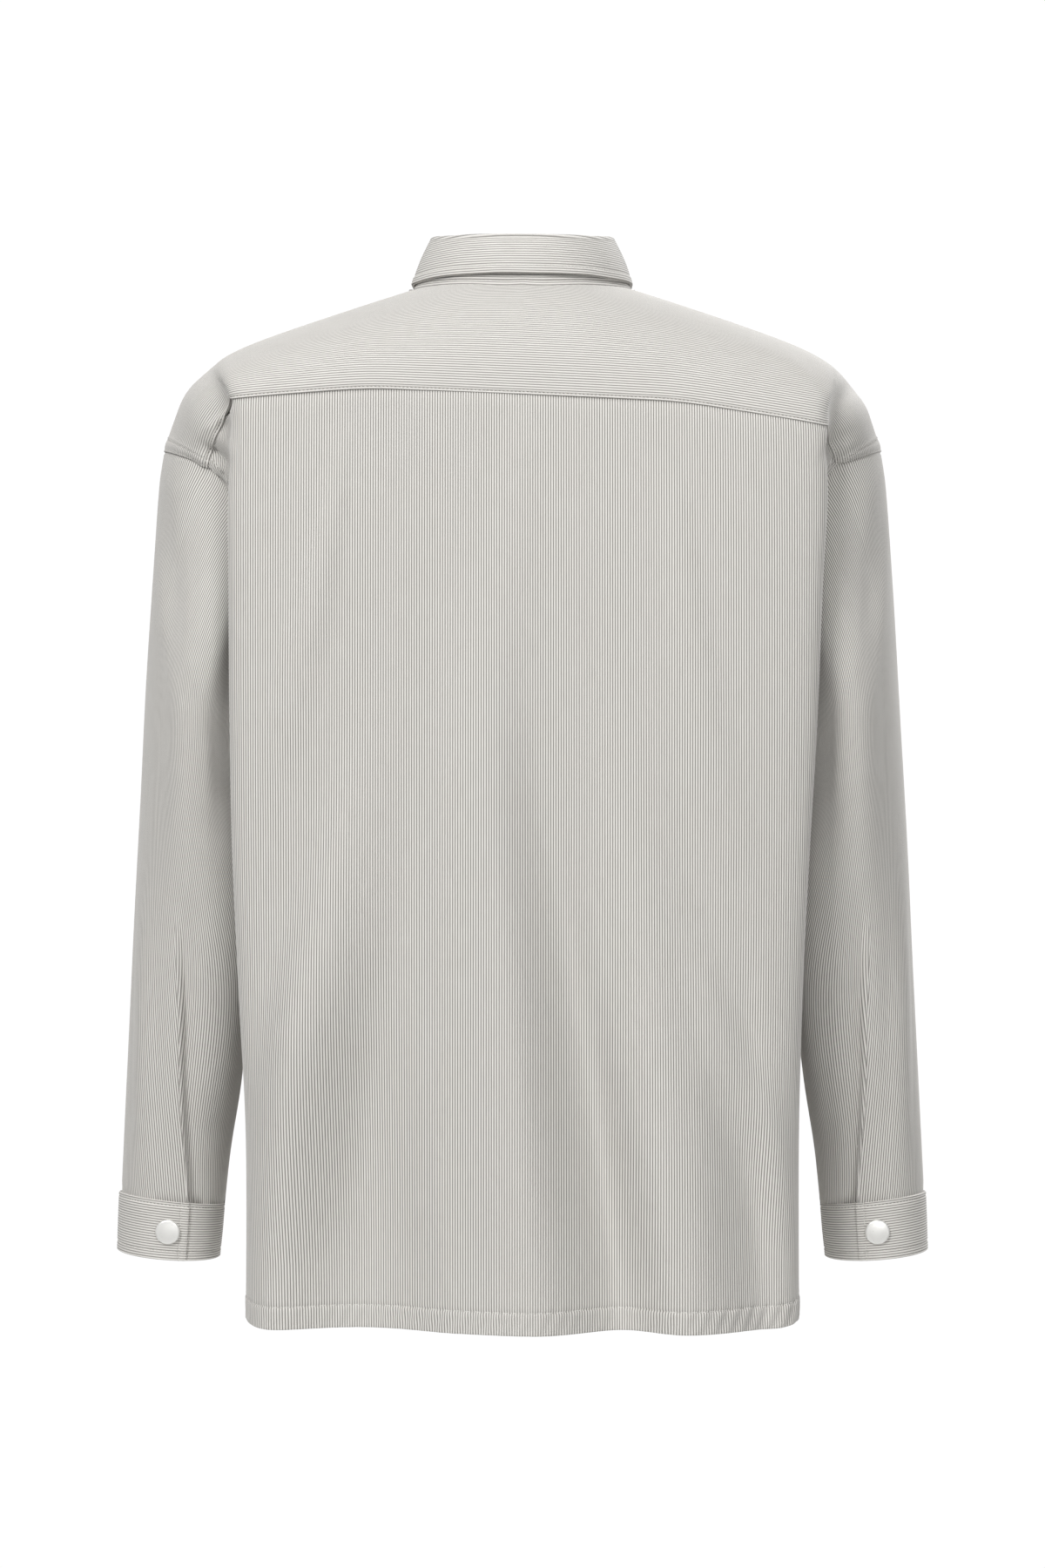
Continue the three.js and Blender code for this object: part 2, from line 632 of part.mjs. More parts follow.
// The collar's columns by angle, from past the centre front on the left round to past it on the right,
// each one on a column of the yoke's or the front's neck edge
const standPast = 0.2;
const neckTurns = [
  ...Array.from({ length: neckColumns + 1 }, (_, i) => (i / neckColumns) * neckCornerAngle),
  ...Array.from({ length: frontNeckColumns }, (_, i) => (
    PI - Math.asin((neckCorner.across / neckAcross) * (1 - (i + 1) / frontNeckColumns))
  )),
];
const fineNeckTurns = neckTurns.flatMap((turn, i) => (i ? [(turn + neckTurns[i - 1]) / 2, turn] : [turn]));
const standTurns = [...fineNeckTurns, PI + standPast];
const collarTurns = [...standTurns.slice(1).reverse(), ...standTurns.map((turn) => -turn)];

// The collar stand: a ring up from the neck seam, upright at its foot and leaning in above,
// higher at the sides, with its left end lapped over its right one and its foot clear of the seam
const standShape = [
  { facing: -1, height: standHeight - 6, narrow: 0.8, shallow: 0.86, foot: 1.7 },
  { facing: -0.45, height: standHeight - 2, narrow: 0.8, shallow: 0.85, foot: 2 },
  { facing: 0, height: standHeight, narrow: 0.8, shallow: 0.84, foot: 1.2 },
  { facing: 1, height: standHeight - 1.2, narrow: 0.8, shallow: 0.82, foot: 0.7 },
];
const standShapeAt = columns(standShape, 'facing');
function standPoint(angle, up, lift) {
  const p = neckPoint(angle);
  const shape = standShapeAt(cos(angle));
  const lean = up ** 1.2;
  p.x *= lerp(1, shape.narrow, lean);
  p.y *= lerp(1, shape.shallow, lean);
  p.z += shape.height * up;
  const out = new THREE.Vector3(sin(angle), cos(angle), 0);
  return p.addScaledVector(out, lift);
}

const standRows = [0, 0.15, 0.5, 1];
function standSkin() {
  return gridOf(standRows.length - 1, collarTurns.length - 1, (_s, _t, i, j) => {
    const angle = collarTurns[i];
    const foot = standShapeAt(cos(angle)).foot / standHeight;
    const lift = Math.sign(angle) * lapStep * 1.25 * smoothstep(abs(angle), 0.55 * PI, PI);
    return standPoint(angle, lerp(foot, 1, standRows[j]), lift + 0.4);
  });
}

// The collar leaf: up from the stand, over the roll and down outside, longer towards its points
const leafEnd = PI - 0.05;
const leafSideTurns = [...neckTurns.filter((turn) => turn < leafEnd - 0.03), leafEnd];
const leafTurns = [...leafSideTurns.slice(1).reverse(), ...leafSideTurns.map((turn) => -turn)];
const rollRise = 2.4;
const leafOut = 3.8;
const leafPoint = { across: 0.3, turn: -0.98, lift: 7 };
function leafEdge(angle) {
  const round = abs(angle);
  const side = angle >= 0 ? 1 : -1;
  const held = standPoint(angle, lerp(0.28, 0.16, abs(sin(angle))), lerp(3.2, 1.3, abs(sin(angle))));
  const forward = smoothstep(round, 0.42 * PI, 0.97 * PI);
  const spot = {
    across: lerp(neckAcross * 1.02, leafPoint.across, forward),
    turn: lerp(-0.2, leafPoint.turn, forward),
  };
  const lying = shoulder(spot.across, spot.turn, 1);
  const near = shoulder(spot.across + 0.01, spot.turn, 1);
  const below = shoulder(spot.across, spot.turn - 0.01, 1);
  const normal = near.sub(lying).cross(lying.clone().sub(below)).normalize();
  lying.addScaledVector(normal, leafPoint.lift);
  lying.x *= side;
  return held.lerp(lying, smoothstep(round, 0.4 * PI, 0.75 * PI));
}

const rollRows = 4;
const fallRows = 4;
function leafSkin() {
  return gridOf(rollRows + fallRows + 1, leafTurns.length - 1, (_s, _t, i, j) => {
    const angle = leafTurns[i];
    const seat = standPoint(angle, 1, 0);
    const out = new THREE.Vector3(sin(angle), cos(angle), 0);
    if (j === 0) return seat.clone().add(new THREE.Vector3(0, 0, 0.5));
    if (j <= rollRows + 1) {
      const turn = ((j - 1) / rollRows) * PI;
      return seat.addScaledVector(out, (leafOut / 2) * (1 - cos(turn)))
        .add(new THREE.Vector3(0, 0, rollRise + (leafOut / 2) * sin(turn) - 1));
    }
    const t = (j - 1 - rollRows) / fallRows;
    const start = seat.clone().addScaledVector(out, leafOut).add(new THREE.Vector3(0, 0, rollRise - 1));
    const end = leafEdge(angle);
    const bow = new THREE.Vector3(0, 0, 0).addScaledVector(out, 1.2 * sin(PI * t));
    return start.lerp(end, t).add(bow);
  });
}

// The front band lies on the left front, its points moved out from the panel's
const bandColumns = 4;
const bandLift = bandThickness + seamGap;
function bandSkin() {
  const rows = frontLevels.length - 1 + frontArchRows;
  const half = bandWidth / 2 / 290;
  const grid = gridOf(rows, bandColumns, (s, _t, _i, j) => {
    const arch = j >= frontLevels.length - 1 ? (j - frontLevels.length + 1) / frontArchRows : null;
    return frontPoint(lerp(-half, half, s), arch, frontLevels[j]);
  });
  return raised(grid, (p) => lap(p.x) + foldHeight(frontFolds, p) + bandLift);
}

const group = new THREE.Group();
const clothColour = new THREE.Color(0.58, 0.575, 0.545);
const snapColour = new THREE.Color(0.82, 0.82, 0.78);

function clothMaterial() {
  return new THREE.MeshStandardMaterial({ color: clothColour, roughness: 0.92, metalness: 0 });
}

function addWall(name, grid, thickness, wrap = false) {
  const mesh = new THREE.Mesh(wallGeometry(grid, thickness, wrap), clothMaterial());
  mesh.name = name;
  group.add(mesh);
}

// A domed snap cap, its flat foot on a point of the cloth and its axis along the cloth's normal
const snapProfile = [[0, 0], [8.3, 0], [9, 0.6], [9, 1.3], [8.2, 2], [4.5, 2.5], [0, 2.7]];
const snapSegments = 16;
function addSnap(name, spot, normal) {
  const profile = snapProfile.map(([r, h]) => new THREE.Vector2((r / 9) * snapRadius, h));
  const geometry = new THREE.LatheGeometry(profile, snapSegments);
  const material = new THREE.MeshStandardMaterial({ color: snapColour, roughness: 0.35, metalness: 0.6 });
  const mesh = new THREE.Mesh(geometry, material);
  mesh.name = name;
  mesh.quaternion.setFromUnitVectors(new THREE.Vector3(0, 1, 0), normal);
  mesh.position.copy(spot).addScaledVector(normal, seamGap);
  group.add(mesh);
}

const edgeGap = seamGap / 2 + 0.15;
addWall('back', pulledIn(backSkin(), { top: 0.4, first: edgeGap, last: edgeGap }), clothThickness);
addWall('yoke', pulledIn(yokeSkin(), { bottom: edgeGap, top: 0.5, first: edgeGap, last: edgeGap }), clothThickness);
const leftFront = pulledIn(frontSkin(frontFolds, 1), { top: edgeGap, last: edgeGap });
addWall('front_left', leftFront, clothThickness);
const rightFront = pulledIn(frontSkin(frontFolds, -1), { top: edgeGap, last: edgeGap });
addWall('front_right', mirrored(rightFront), clothThickness);

const leftSleeve = pulledIn(sleeveSkin(), { top: edgeGap });
addWall('sleeve_left', leftSleeve, clothThickness, true);
addWall('sleeve_right', mirrored(leftSleeve), clothThickness, true);
const leftCuff = cuffSkin();
addWall('cuff_left', leftCuff, cuffThickness);
addWall('cuff_right', mirrored(leftCuff), cuffThickness);

addWall('collar_stand', standSkin(), standThickness);
addWall('collar_leaf', leafSkin(), leafThickness);
const band = pulledIn(bandSkin(), { top: 1.2 });
addWall('front_band', band, bandThickness);

// A place on a grid's own column at a level, with the normal there
function spotAtLevel(grid, i, level) {
  const normals = gridNormals(grid);
  const j = grid.findIndex((row) => row[i].z > level) - 1;
  const t = (level - grid[j][i].z) / (grid[j + 1][i].z - grid[j][i].z);
  return {
    spot: grid[j][i].clone().lerp(grid[j + 1][i], t),
    normal: normals[j][i].clone().lerp(normals[j + 1][i], t).normalize(),
  };
}

// The snap caps: down the band, one on the stand's upper end and one on each cuff
const bandSnaps = { top: -112, pitch: 100, count: 6 };
for (let k = 0; k < bandSnaps.count; k += 1) {
  const { spot, normal } = spotAtLevel(band, bandColumns / 2, bandSnaps.top - bandSnaps.pitch * k);
  addSnap(`snap_front_${k + 1}`, spot, normal);
}
const stand = standSkin();
const standSnapColumn = collarTurns.findIndex((turn) => turn <= PI);
addSnap('snap_collar', stand[2][standSnapColumn], gridNormals(stand)[2][standSnapColumn]);
const cuffSnapColumn = Math.round((cuffColumns * (cuffSnapTurn + 360 - cuffEdgeTurn + cuffLap)) / (360 + cuffLap));
[['left', leftCuff], ['right', mirrored(leftCuff)]].forEach(([name, grid]) => {
  const i = name === 'left' ? cuffSnapColumn : cuffColumns - cuffSnapColumn;
  addSnap(`snap_cuff_${name}`, grid[1][i], gridNormals(grid)[1][i]);
});

export default group;
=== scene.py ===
import math
import bpy
import numpy as np
from mathutils import Matrix, Vector, noise


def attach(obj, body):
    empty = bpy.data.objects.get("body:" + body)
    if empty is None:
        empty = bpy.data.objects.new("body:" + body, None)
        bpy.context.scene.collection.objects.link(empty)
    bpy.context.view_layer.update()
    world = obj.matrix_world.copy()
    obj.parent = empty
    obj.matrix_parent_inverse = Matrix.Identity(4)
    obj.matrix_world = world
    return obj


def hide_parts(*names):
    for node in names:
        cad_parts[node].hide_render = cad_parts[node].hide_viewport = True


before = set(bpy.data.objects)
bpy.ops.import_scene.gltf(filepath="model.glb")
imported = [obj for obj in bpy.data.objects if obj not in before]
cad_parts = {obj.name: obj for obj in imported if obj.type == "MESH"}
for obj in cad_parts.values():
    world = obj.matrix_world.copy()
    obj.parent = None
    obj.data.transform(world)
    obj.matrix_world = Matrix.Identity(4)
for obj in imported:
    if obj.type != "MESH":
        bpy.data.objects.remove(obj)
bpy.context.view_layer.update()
print("stage: frame loaded")

# The garment's pattern is in millimetres, +X the wearer's left, +Y the back, +Z up,
# and a mesh is turned into metres when it is made.
toMetres = 0.001

# What a user may change about the cloth itself
cloth = {
    "ribPitch": 1.8,          # from one rib to the next
    "ribHeight": 0.3,
    "wall": 1.5,
    "edgeRound": 0.75,        # radius of a turned edge
    "wobble": 0.7,            # slow unevenness of the hanging cloth
}

# Driving sizes of the body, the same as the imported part's
body = {
    "hemLevel": -735, "underarmLevel": -308, "backYokeLevel": -79, "chestLevel": -150,
    "neckHalfWidth": 79, "neckBack": 70, "neckFront": 75, "frontYokeReach": 0.41,
    "frontOverlap": 15, "lapStep": 1.2, "hemRise": 14, "underarmX": 182, "underarmY": -5,
    "edgePull": 0.42, "backSplit": 0.78, "yokeSeamTilt": 0.042,
}

shoulderRidge = [
    {"x": 0, "z": 22}, {"x": 40, "z": 17}, {"x": 79, "z": 4.5}, {"x": 126, "z": -10.7},
    {"x": 177, "z": -28.3}, {"x": 202, "z": -38.4}, {"x": 221, "z": -49}, {"x": 233.5, "z": -60.5},
    {"x": 246, "z": -78}, {"x": 255.5, "z": -101}, {"x": 258.6, "z": -112},
]
backColumns = ("level", "middleY", "foldLeft", "foldRight", "foldY", "square", "seamX", "seamY")
backSections = [dict(zip(backColumns, row)) for row in (
    (-735, 116, 196, 196, 62, 3.4, 192, 0),
    (-600, 119, 195.5, 195.5, 72, 3.4, 186, -3),
    (-500, 122, 200, 197.5, 84, 3.6, 181, -5),
    (-400, 125, 204, 202, 92, 3.8, 179, -5),
    (-308, 127, 205.5, 207, 95, 4, 182, -5),
    (-200, 126, 206.5, 211.5, 97, 4, 182, -5),
    (-130, 123, 208, 215.5, 98, 4, 182, -5),
    (-79, 120, 209, 217, 98, 3.8, 182, -5),
)]
frontColumns = ("level", "middleY", "cornerX", "cornerY", "square", "seamX", "seamY")
frontSections = [dict(zip(frontColumns, row)) for row in (
    (-735, -114, 191, -62, 2.8, 192, 0),
    (-600, -119, 184, -60, 2.8, 186, -3),
    (-500, -124, 177, -58, 2.8, 181, -5),
    (-400, -127, 174, -58, 2.8, 179, -5),
    (-308, -128, 177, -62, 2.7, 182, -5),
    (-240, -126, 184, -72, 2.6, 182, -5),
    (-150, -117, 199, -82, 2.5, 182, -5),
)]
backArmhole = {"top": body["backYokeLevel"], "reachX": 41, "reachY": 83, "fallAtTop": 46, "pull": 0.2}
frontArmhole = {"top": body["chestLevel"], "reachX": 24, "reachY": -70, "fallAtTop": 10, "pull": 0.04}
yokeSeamFall = [
    {"x": 0, "fall": 0}, {"x": 73, "fall": 0.2}, {"x": 110, "fall": 0.9},
    {"x": 160, "fall": 6}, {"x": 212, "fall": 12},
]


def lerp(a, b, t):
    return a + (b - a) * t


def smoothstep(x, low, high):
    t = np.clip((np.asarray(x, float) - low) / (high - low), 0, 1)
    return t * t * (3 - 2 * t)


def column(rows, key, name):
    # a smooth curve through one named column of a table
    xs = np.array([row[key] for row in rows], float)
    ys = np.array([row[name] for row in rows], float)
    last = len(xs) - 1
    before = np.maximum(np.arange(len(xs)) - 1, 0)
    after = np.minimum(np.arange(len(xs)) + 1, last)
    slopes = (ys[after] - ys[before]) / (xs[after] - xs[before])

    def at(x):
        x = np.clip(np.asarray(x, float), xs[0], xs[last])
        i = np.clip(np.searchsorted(xs, x, side="right") - 1, 0, last - 1)
        span = xs[i + 1] - xs[i]
        t = (x - xs[i]) / span
        bend = span * t * (1 - t) * ((1 - t) * slopes[i] - t * slopes[i + 1])
        return lerp(ys[i], ys[i + 1], t * t * (3 - 2 * t)) + bend
    return at


def columns(rows, key):
    curves = {name: column(rows, key, name) for name in rows[0] if name != key}
    return lambda x: {name: curve(x) for name, curve in curves.items()}


def lengthsOf(points):
    steps = np.linalg.norm(np.diff(points, axis=0), axis=1)
    return np.concatenate([[0], np.cumsum(steps)])


def byShare(points):
    # points of a path at shares of its own length
    lengths = lengthsOf(points)
    total = lengths[-1]

    def at(share):
        want = np.clip(share, 0, 1) * total
        return np.stack([np.interp(want, lengths, points[:, k]) for k in range(3)], axis=-1)
    return at


backAt = columns(backSections, "level")
frontAt = columns(frontSections, "level")
seamFallAt = column(yokeSeamFall, "x", "fall")
cornerSteps = 160
edgeSteps = 64


def panelEdge(level, armhole, section):
    if level <= body["underarmLevel"]:
        return float(section["seamX"]), float(section["seamY"]), 0.0
    t = (level - body["underarmLevel"]) / (armhole["top"] - body["underarmLevel"])
    t = min(t, 1.0)
    bulge = math.sqrt(max(0, 1 - (1 - t) ** 2)) * (1 - armhole["pull"] * t * t)
    return (body["underarmX"] + armhole["reachX"] * t ** 3,
            body["underarmY"] + armhole["reachY"] * bulge, armhole["fallAtTop"] * t * t)


def sectionPath(middleY, cornerX, cornerY, square, edgeX, edgeY):
    turn = np.linspace(0, math.pi / 2, cornerSteps + 1)
    x = cornerX * np.sin(turn) ** (2 / square)
    y = cornerY + (middleY - cornerY) * np.clip(np.cos(turn), 0, 1) ** (2 / square)
    tip = np.array([x[-1], y[-1]])
    end = np.array([edgeX, edgeY])
    handle = np.array([0, body["edgePull"] * np.linalg.norm(end - tip) * np.sign(middleY)])
    t = np.linspace(0, 1, edgeSteps + 1)[1:, None]
    bend = ((1 - t) ** 3 * tip + 3 * (1 - t) ** 2 * t * (tip - handle)
            + 3 * (1 - t) * t * t * (end + handle) + t ** 3 * end)
    return np.concatenate([np.stack([x, y], axis=1), bend])


def inTwo(path, split, shares):
    toCorner = byShare(path[:cornerSteps + 1])
    toEdge = byShare(path[cornerSteps:])
    shares = np.asarray(shares, float)
    inner = toCorner(np.clip(shares / split, 0, 1))
    outer = toEdge(np.clip((shares - split) / (1 - split), 0, 1))
    return np.where((shares <= split)[..., None], inner, outer)


def hemLift(level):
    low = smoothstep(-level, -body["hemLevel"] - 160, -body["hemLevel"])
    steps = np.arange(cornerSteps + edgeSteps + 1)
    return low * body["hemRise"] * smoothstep(steps, cornerSteps * 0.6, cornerSteps + edgeSteps)


def backLine(level, side):
    section = backAt(level)
    edgeX, edgeY, fall = panelEdge(level, backArmhole, section)
    cornerX = section["foldLeft"] if side > 0 else section["foldRight"]
    path = sectionPath(section["middleY"], cornerX, section["foldY"], section["square"], edgeX, edgeY)
    span = body["backYokeLevel"] - body["underarmLevel"]
    nearTop = max(0, (level - body["underarmLevel"]) / span) ** 2
    falls = (seamFallAt(path[:, 0]) - body["yokeSeamTilt"] * side * path[:, 0]) * nearTop
    past = np.clip((np.arange(len(path)) - cornerSteps) / edgeSteps, 0, 1)
    falls = np.where(past > 0, lerp(falls[cornerSteps], fall, past), falls)
    return np.column_stack([path, level - falls + hemLift(level)])


def frontSplit(level):
    return lerp(0.78, 0.92, smoothstep(level, body["underarmLevel"] - 40, body["chestLevel"]))


def frontLine(level):
    section = frontAt(level)
    edgeX, edgeY, fall = panelEdge(level, frontArmhole, section)
    path = sectionPath(section["middleY"], section["cornerX"], section["cornerY"],
                       section["square"], edgeX, edgeY)
    past = np.clip((np.arange(len(path)) - cornerSteps) / edgeSteps, 0, 1)
    return np.column_stack([path, level - fall * past + hemLift(level)])


# The shoulder arches over a ridge, from the back yoke seam (turn 90 degrees) to the chest (-90)
ridgeZ = column(shoulderRidge, "x", "z")
ridgeEnd = shoulderRidge[-1]["x"]
ridgeX = ridgeEnd * np.sin(np.linspace(0, math.pi / 2, 241))
ridgeAt = byShare(np.column_stack([ridgeX, 3 * np.sin(math.pi * ridgeX / ridgeEnd), ridgeZ(ridgeX)]))
yokeFoot = {side: backLine(body["backYokeLevel"], side) for side in (1, -1)}
chestFoot = frontLine(body["chestLevel"])


def shoulder(across, turn, side):
    across, turn = np.broadcast_arrays(np.asarray(across, float), np.asarray(turn, float))
    top = ridgeAt(across)
    back = inTwo(yokeFoot[side], body["backSplit"], across)
    front = inTwo(chestFoot, frontSplit(body["chestLevel"]), across)
    foot = np.where((turn >= 0)[..., None], back, front)
    c, s = np.cos(turn), np.abs(np.sin(turn))
    return np.stack([lerp(foot[..., 0], top[..., 0], c), lerp(top[..., 1], foot[..., 1], s),
                     lerp(foot[..., 2], top[..., 2], c)], axis=-1)


neckAcross = body["neckHalfWidth"] / 307
backReach = float(backAt(body["backYokeLevel"])["middleY"])
frontReach = -float(frontAt(body["chestLevel"])["middleY"])
frontSeamTurn = -math.asin(body["frontYokeReach"])
neckCornerAngle = math.pi - math.acos(body["frontYokeReach"] * frontReach / body["neckFront"])


def neckSpot(angle):
    angle = np.asarray(angle, float)
    depth = np.where(np.cos(angle) >= 0, body["neckBack"] / backReach, body["neckFront"] / frontReach)
    return neckAcross * np.abs(np.sin(angle)), np.arcsin(depth * np.cos(angle))


neckCornerAcross = float(neckSpot(neckCornerAngle)[0])


def neckPoint(angle):
    across, turn = neckSpot(angle)
    side = np.where(np.sin(angle) >= 0, 1, -1)
    left = shoulder(across, turn, 1)
    right = shoulder(across, turn, -1) * np.array([-1, 1, 1])
    return np.where((side > 0)[..., None], left, right)


# Grids of points and the cloth walls made from them
def normalsOf(grid, closed=False):
    along = np.empty_like(grid)
    along[:, 1:-1] = grid[:, 2:] - grid[:, :-2]
    if closed:
        along[:, 0] = along[:, -1] = grid[:, 1] - grid[:, -2]
    else:
        along[:, 0] = grid[:, 1] - grid[:, 0]
        along[:, -1] = grid[:, -1] - grid[:, -2]
    up = np.gradient(grid, axis=0)
    normals = np.cross(along, up)
    size = np.linalg.norm(normals, axis=-1, keepdims=True)
    return normals / np.maximum(size, 1e-9)


def areaOf(grid):
    a = grid[1:, 1:] - grid[:-1, :-1]
    b = grid[1:, :-1] - grid[:-1, 1:]
    return float(np.linalg.norm(np.cross(a, b), axis=-1).sum() / 2) * toMetres ** 2


def ribHeight(c):
    return cloth["ribHeight"] * (1 - np.abs(np.cos(math.pi * np.asarray(c) / cloth["ribPitch"])) ** 5)


def edgeDrop(distance):
    # how far a turned edge curves down, by the distance from it
    r = cloth["edgeRound"]
    d = np.clip(distance, 0, r)
    return r - np.sqrt(np.maximum(r * r - (r - d) ** 2, 0))


def groove(distance, depth=0.3, half=0.9):
    off = np.clip(np.abs(distance) / half, 0, 1)
    return -depth * (1 - off * off) ** 2


def ribLines(low, high, extra=(), steps=(0, 0.3, 0.7)):
    # places across a panel, three to a rib, with finer ones at its two ends
    pitch = cloth["ribPitch"]
    count = np.arange(math.floor(low / pitch), math.ceil(high / pitch) + 1)
    lines = (count[:, None] + np.array(steps)[None, :]).ravel() * pitch
    ends = np.array([0, 0.2, 0.5])
    lines = np.concatenate([lines[(lines > low + 0.7) & (lines < high - 0.7)], low + ends, high - ends, extra])
    lines = np.unique(np.round(lines, 3))
    return lines[np.concatenate([[True], np.diff(lines) > 0.1])]


def plainLines(low, high, step, extra=()):
    count = max(2, int(round((high - low) / step)))
    lines = np.concatenate([np.linspace(low, high, count + 1), extra])
    return np.unique(np.round(lines[(lines >= low) & (lines <= high)], 4))


def wobble(points, size=90.0, seed=0.0):
    # slow unevenness, the same at each run
    flat = points.reshape(-1, 3) / size
    values = [noise.noise(Vector((p[0] + seed, p[1], p[2] * 0.6))) for p in flat[::1]]
    return np.array(values).reshape(points.shape[:-1])


def coarseWobble(points, size=90.0, seed=0.0, rows=24, cols=60):
    # the same unevenness, worked out on a coarse grid and spread over a fine one
    r = np.unique(np.linspace(0, points.shape[0] - 1, rows).astype(int))
    c = np.unique(np.linspace(0, points.shape[1] - 1, cols).astype(int))
    coarse = wobble(points[np.ix_(r, c)], size, seed)
    across = np.stack([np.interp(np.arange(points.shape[1]), c, line) for line in coarse])
    return np.stack([np.interp(np.arange(points.shape[0]), r, across[:, k])
                     for k in range(points.shape[1])], axis=1)


def gridFaces(rows, cols):
    first = (np.arange(rows - 1)[:, None] * cols + np.arange(cols - 1)[None, :]).ravel()
    return np.stack([first, first + 1, first + cols + 1, first + cols], axis=1)


def without(loop):
    # a loop with its repeated neighbours dropped
    return [v for k, v in enumerate(loop) if k == 0 or v != loop[k - 1]]


def bridge(outer, outerAt, inner, innerAt):
    # triangles between two edges that run the same way
    faces = []
    i = j = 0
    while i < len(outer) - 1 or j < len(inner) - 1:
        nextOuter = outerAt[i + 1] if i < len(outer) - 1 else 1e9
        nextInner = innerAt[j + 1] if j < len(inner) - 1 else 1e9
        if nextOuter <= nextInner:
            faces.append((inner[j], outer[i + 1], outer[i]))
            i += 1
        else:
            faces.append((inner[j], inner[j + 1], outer[i]))
            j += 1
    return faces


def rim(index, rowsAt, colsAt):
    # the four edges of a grid one after another, each point with its share along its own edge
    sides = [
        (index[0], colsAt), (index[:, -1], 1 + rowsAt),
        (index[-1, ::-1], 3 - colsAt[::-1]), (index[::-1, 0], 4 - rowsAt[::-1]),
    ]
    return np.concatenate([s[0] for s in sides]), np.concatenate([s[1] for s in sides])


def makeMesh(name, points, faces, uvs):
    # faces index the unmerged points, so that each corner keeps its own place on the cloth
    keys = np.round(points * 2000).astype(np.int64)
    _, first, merged = np.unique(keys, axis=0, return_index=True, return_inverse=True)
    merged = merged.reshape(-1)
    kept = []
    corners = []
    for face in faces:
        ring = [(merged[v], v) for v in face]
        ring = [ring[k] for k in range(len(ring)) if ring[k][0] != ring[k - 1][0]]
        if len(ring) >= 3 and len({v for v, _ in ring}) == len(ring):
            kept.append([v for v, _ in ring])
            corners.extend(v for _, v in ring)
    mesh = bpy.data.meshes.new(name)
    mesh.from_pydata((points[first] * toMetres).tolist(), [], kept)
    layer = mesh.uv_layers.new(name="clothMap")
    layer.data.foreach_set("uv", (uvs[corners] * toMetres).astype(np.float32).ravel())
    mesh.shade_smooth()
    mesh.set_sharp_from_angle(angle=math.radians(70))
    loose = [v for v, used in enumerate(np.bincount(np.concatenate(kept), minlength=len(first))) if not used]
    if loose:
        import bmesh
        bm = bmesh.new()
        bm.from_mesh(mesh)
        bm.verts.ensure_lookup_table()
        bmesh.ops.delete(bm, geom=[bm.verts[v] for v in loose], context="VERTS")
        bm.to_mesh(mesh)
        bm.free()
    piece = bpy.data.objects.new(name, mesh)
    bpy.context.scene.collection.objects.link(piece)
    return piece


def clothWall(name, outer, outerUv, inner, closed=False, flip=False):
    # a thin closed wall: a fine outer face, a coarser inner one and the rims between them
    rows, cols = outer.shape[:2]
    innerRows, innerCols = inner.shape[:2]
    points = np.concatenate([outer.reshape(-1, 3), inner.reshape(-1, 3)])
    grown = lerp(0, 1, np.linspace(0, 1, innerCols))[None, :, None] * np.ones((innerRows, 1, 1))
    innerUv = np.concatenate([grown * 1000, grown * 0], axis=2)
    uvs = np.concatenate([outerUv.reshape(-1, 2), innerUv.reshape(-1, 2)])
    outerIndex = np.arange(rows * cols).reshape(rows, cols)
    innerIndex = rows * cols + np.arange(innerRows * innerCols).reshape(innerRows, innerCols)
    faces = [tuple(f) for f in gridFaces(rows, cols)]
    faces += [tuple(f[::-1]) for f in gridFaces(innerRows, innerCols) + rows * cols]
    shares = [np.linspace(0, 1, n) for n in (rows, cols, innerRows, innerCols)]
    if closed:
        faces += bridge(outerIndex[0], shares[1], innerIndex[0], shares[3])
        faces += bridge(outerIndex[-1, ::-1], shares[1], innerIndex[-1, ::-1], shares[3])
    else:
        faces += bridge(*rim(outerIndex, shares[0], shares[1]), *rim(innerIndex, shares[2], shares[3]))
    if flip:
        points = points * np.array([-1, 1, 1])
        faces = [f[::-1] for f in faces]
    return makeMesh(name, points, faces, uvs)


def foldHeight(folds, points):
    # ridges and troughs of the drape: each runs down the cloth and widens as it goes
    total = np.zeros(points.shape[:-1])
    for fold in folds:
        t = (fold["z0"] - points[..., 2]) / (fold["z0"] - fold["z1"])
        run = np.clip(t, 0, 1.2)
        crest = lerp(fold["x0"], fold["x1"], run ** fold["bend"])
        half = np.where(points[..., 0] > crest, fold["toLeft"], fold["toRight"]) * (0.35 + 0.65 * run)
        off = np.clip(np.abs(points[..., 0] - crest) / half, 0, 1)
        fade = smoothstep(run, 0, 0.8) if fold.get("end") is None else np.sin(math.pi * np.clip(t, 0, 1)) ** 0.8
        total += np.where(t > 0, fold["height"] * fade * (1 - off) ** 2 * (1 + 2 * off), 0)
    return total * (1 - smoothstep(np.abs(points[..., 0]), 158, 198))


# The camera: level, straight behind the garment, at the photograph's size in the picture
viewpoint = {"distance": 3.6, "height": -0.3515, "focalPixels": 5714, "pictureHeight": 1800, "sensor": 36}


def makeCamera():
    data = bpy.data.cameras.new("backView")
    data.sensor_width = viewpoint["sensor"]
    data.sensor_fit = "AUTO"
    data.lens = viewpoint["focalPixels"] * viewpoint["sensor"] / viewpoint["pictureHeight"]
    data.clip_end = 50
    camera = bpy.data.objects.new("backView", data)
    camera.location = (0, viewpoint["distance"], viewpoint["height"])
    camera.rotation_euler = (math.pi / 2, 0, math.pi)
    bpy.context.scene.collection.objects.link(camera)
    bpy.context.scene.camera = camera


makeCamera()
print("stage: camera placed")


# Sewing lines are gathered here as each piece is made: points and the cloth's normals along them
seams = []


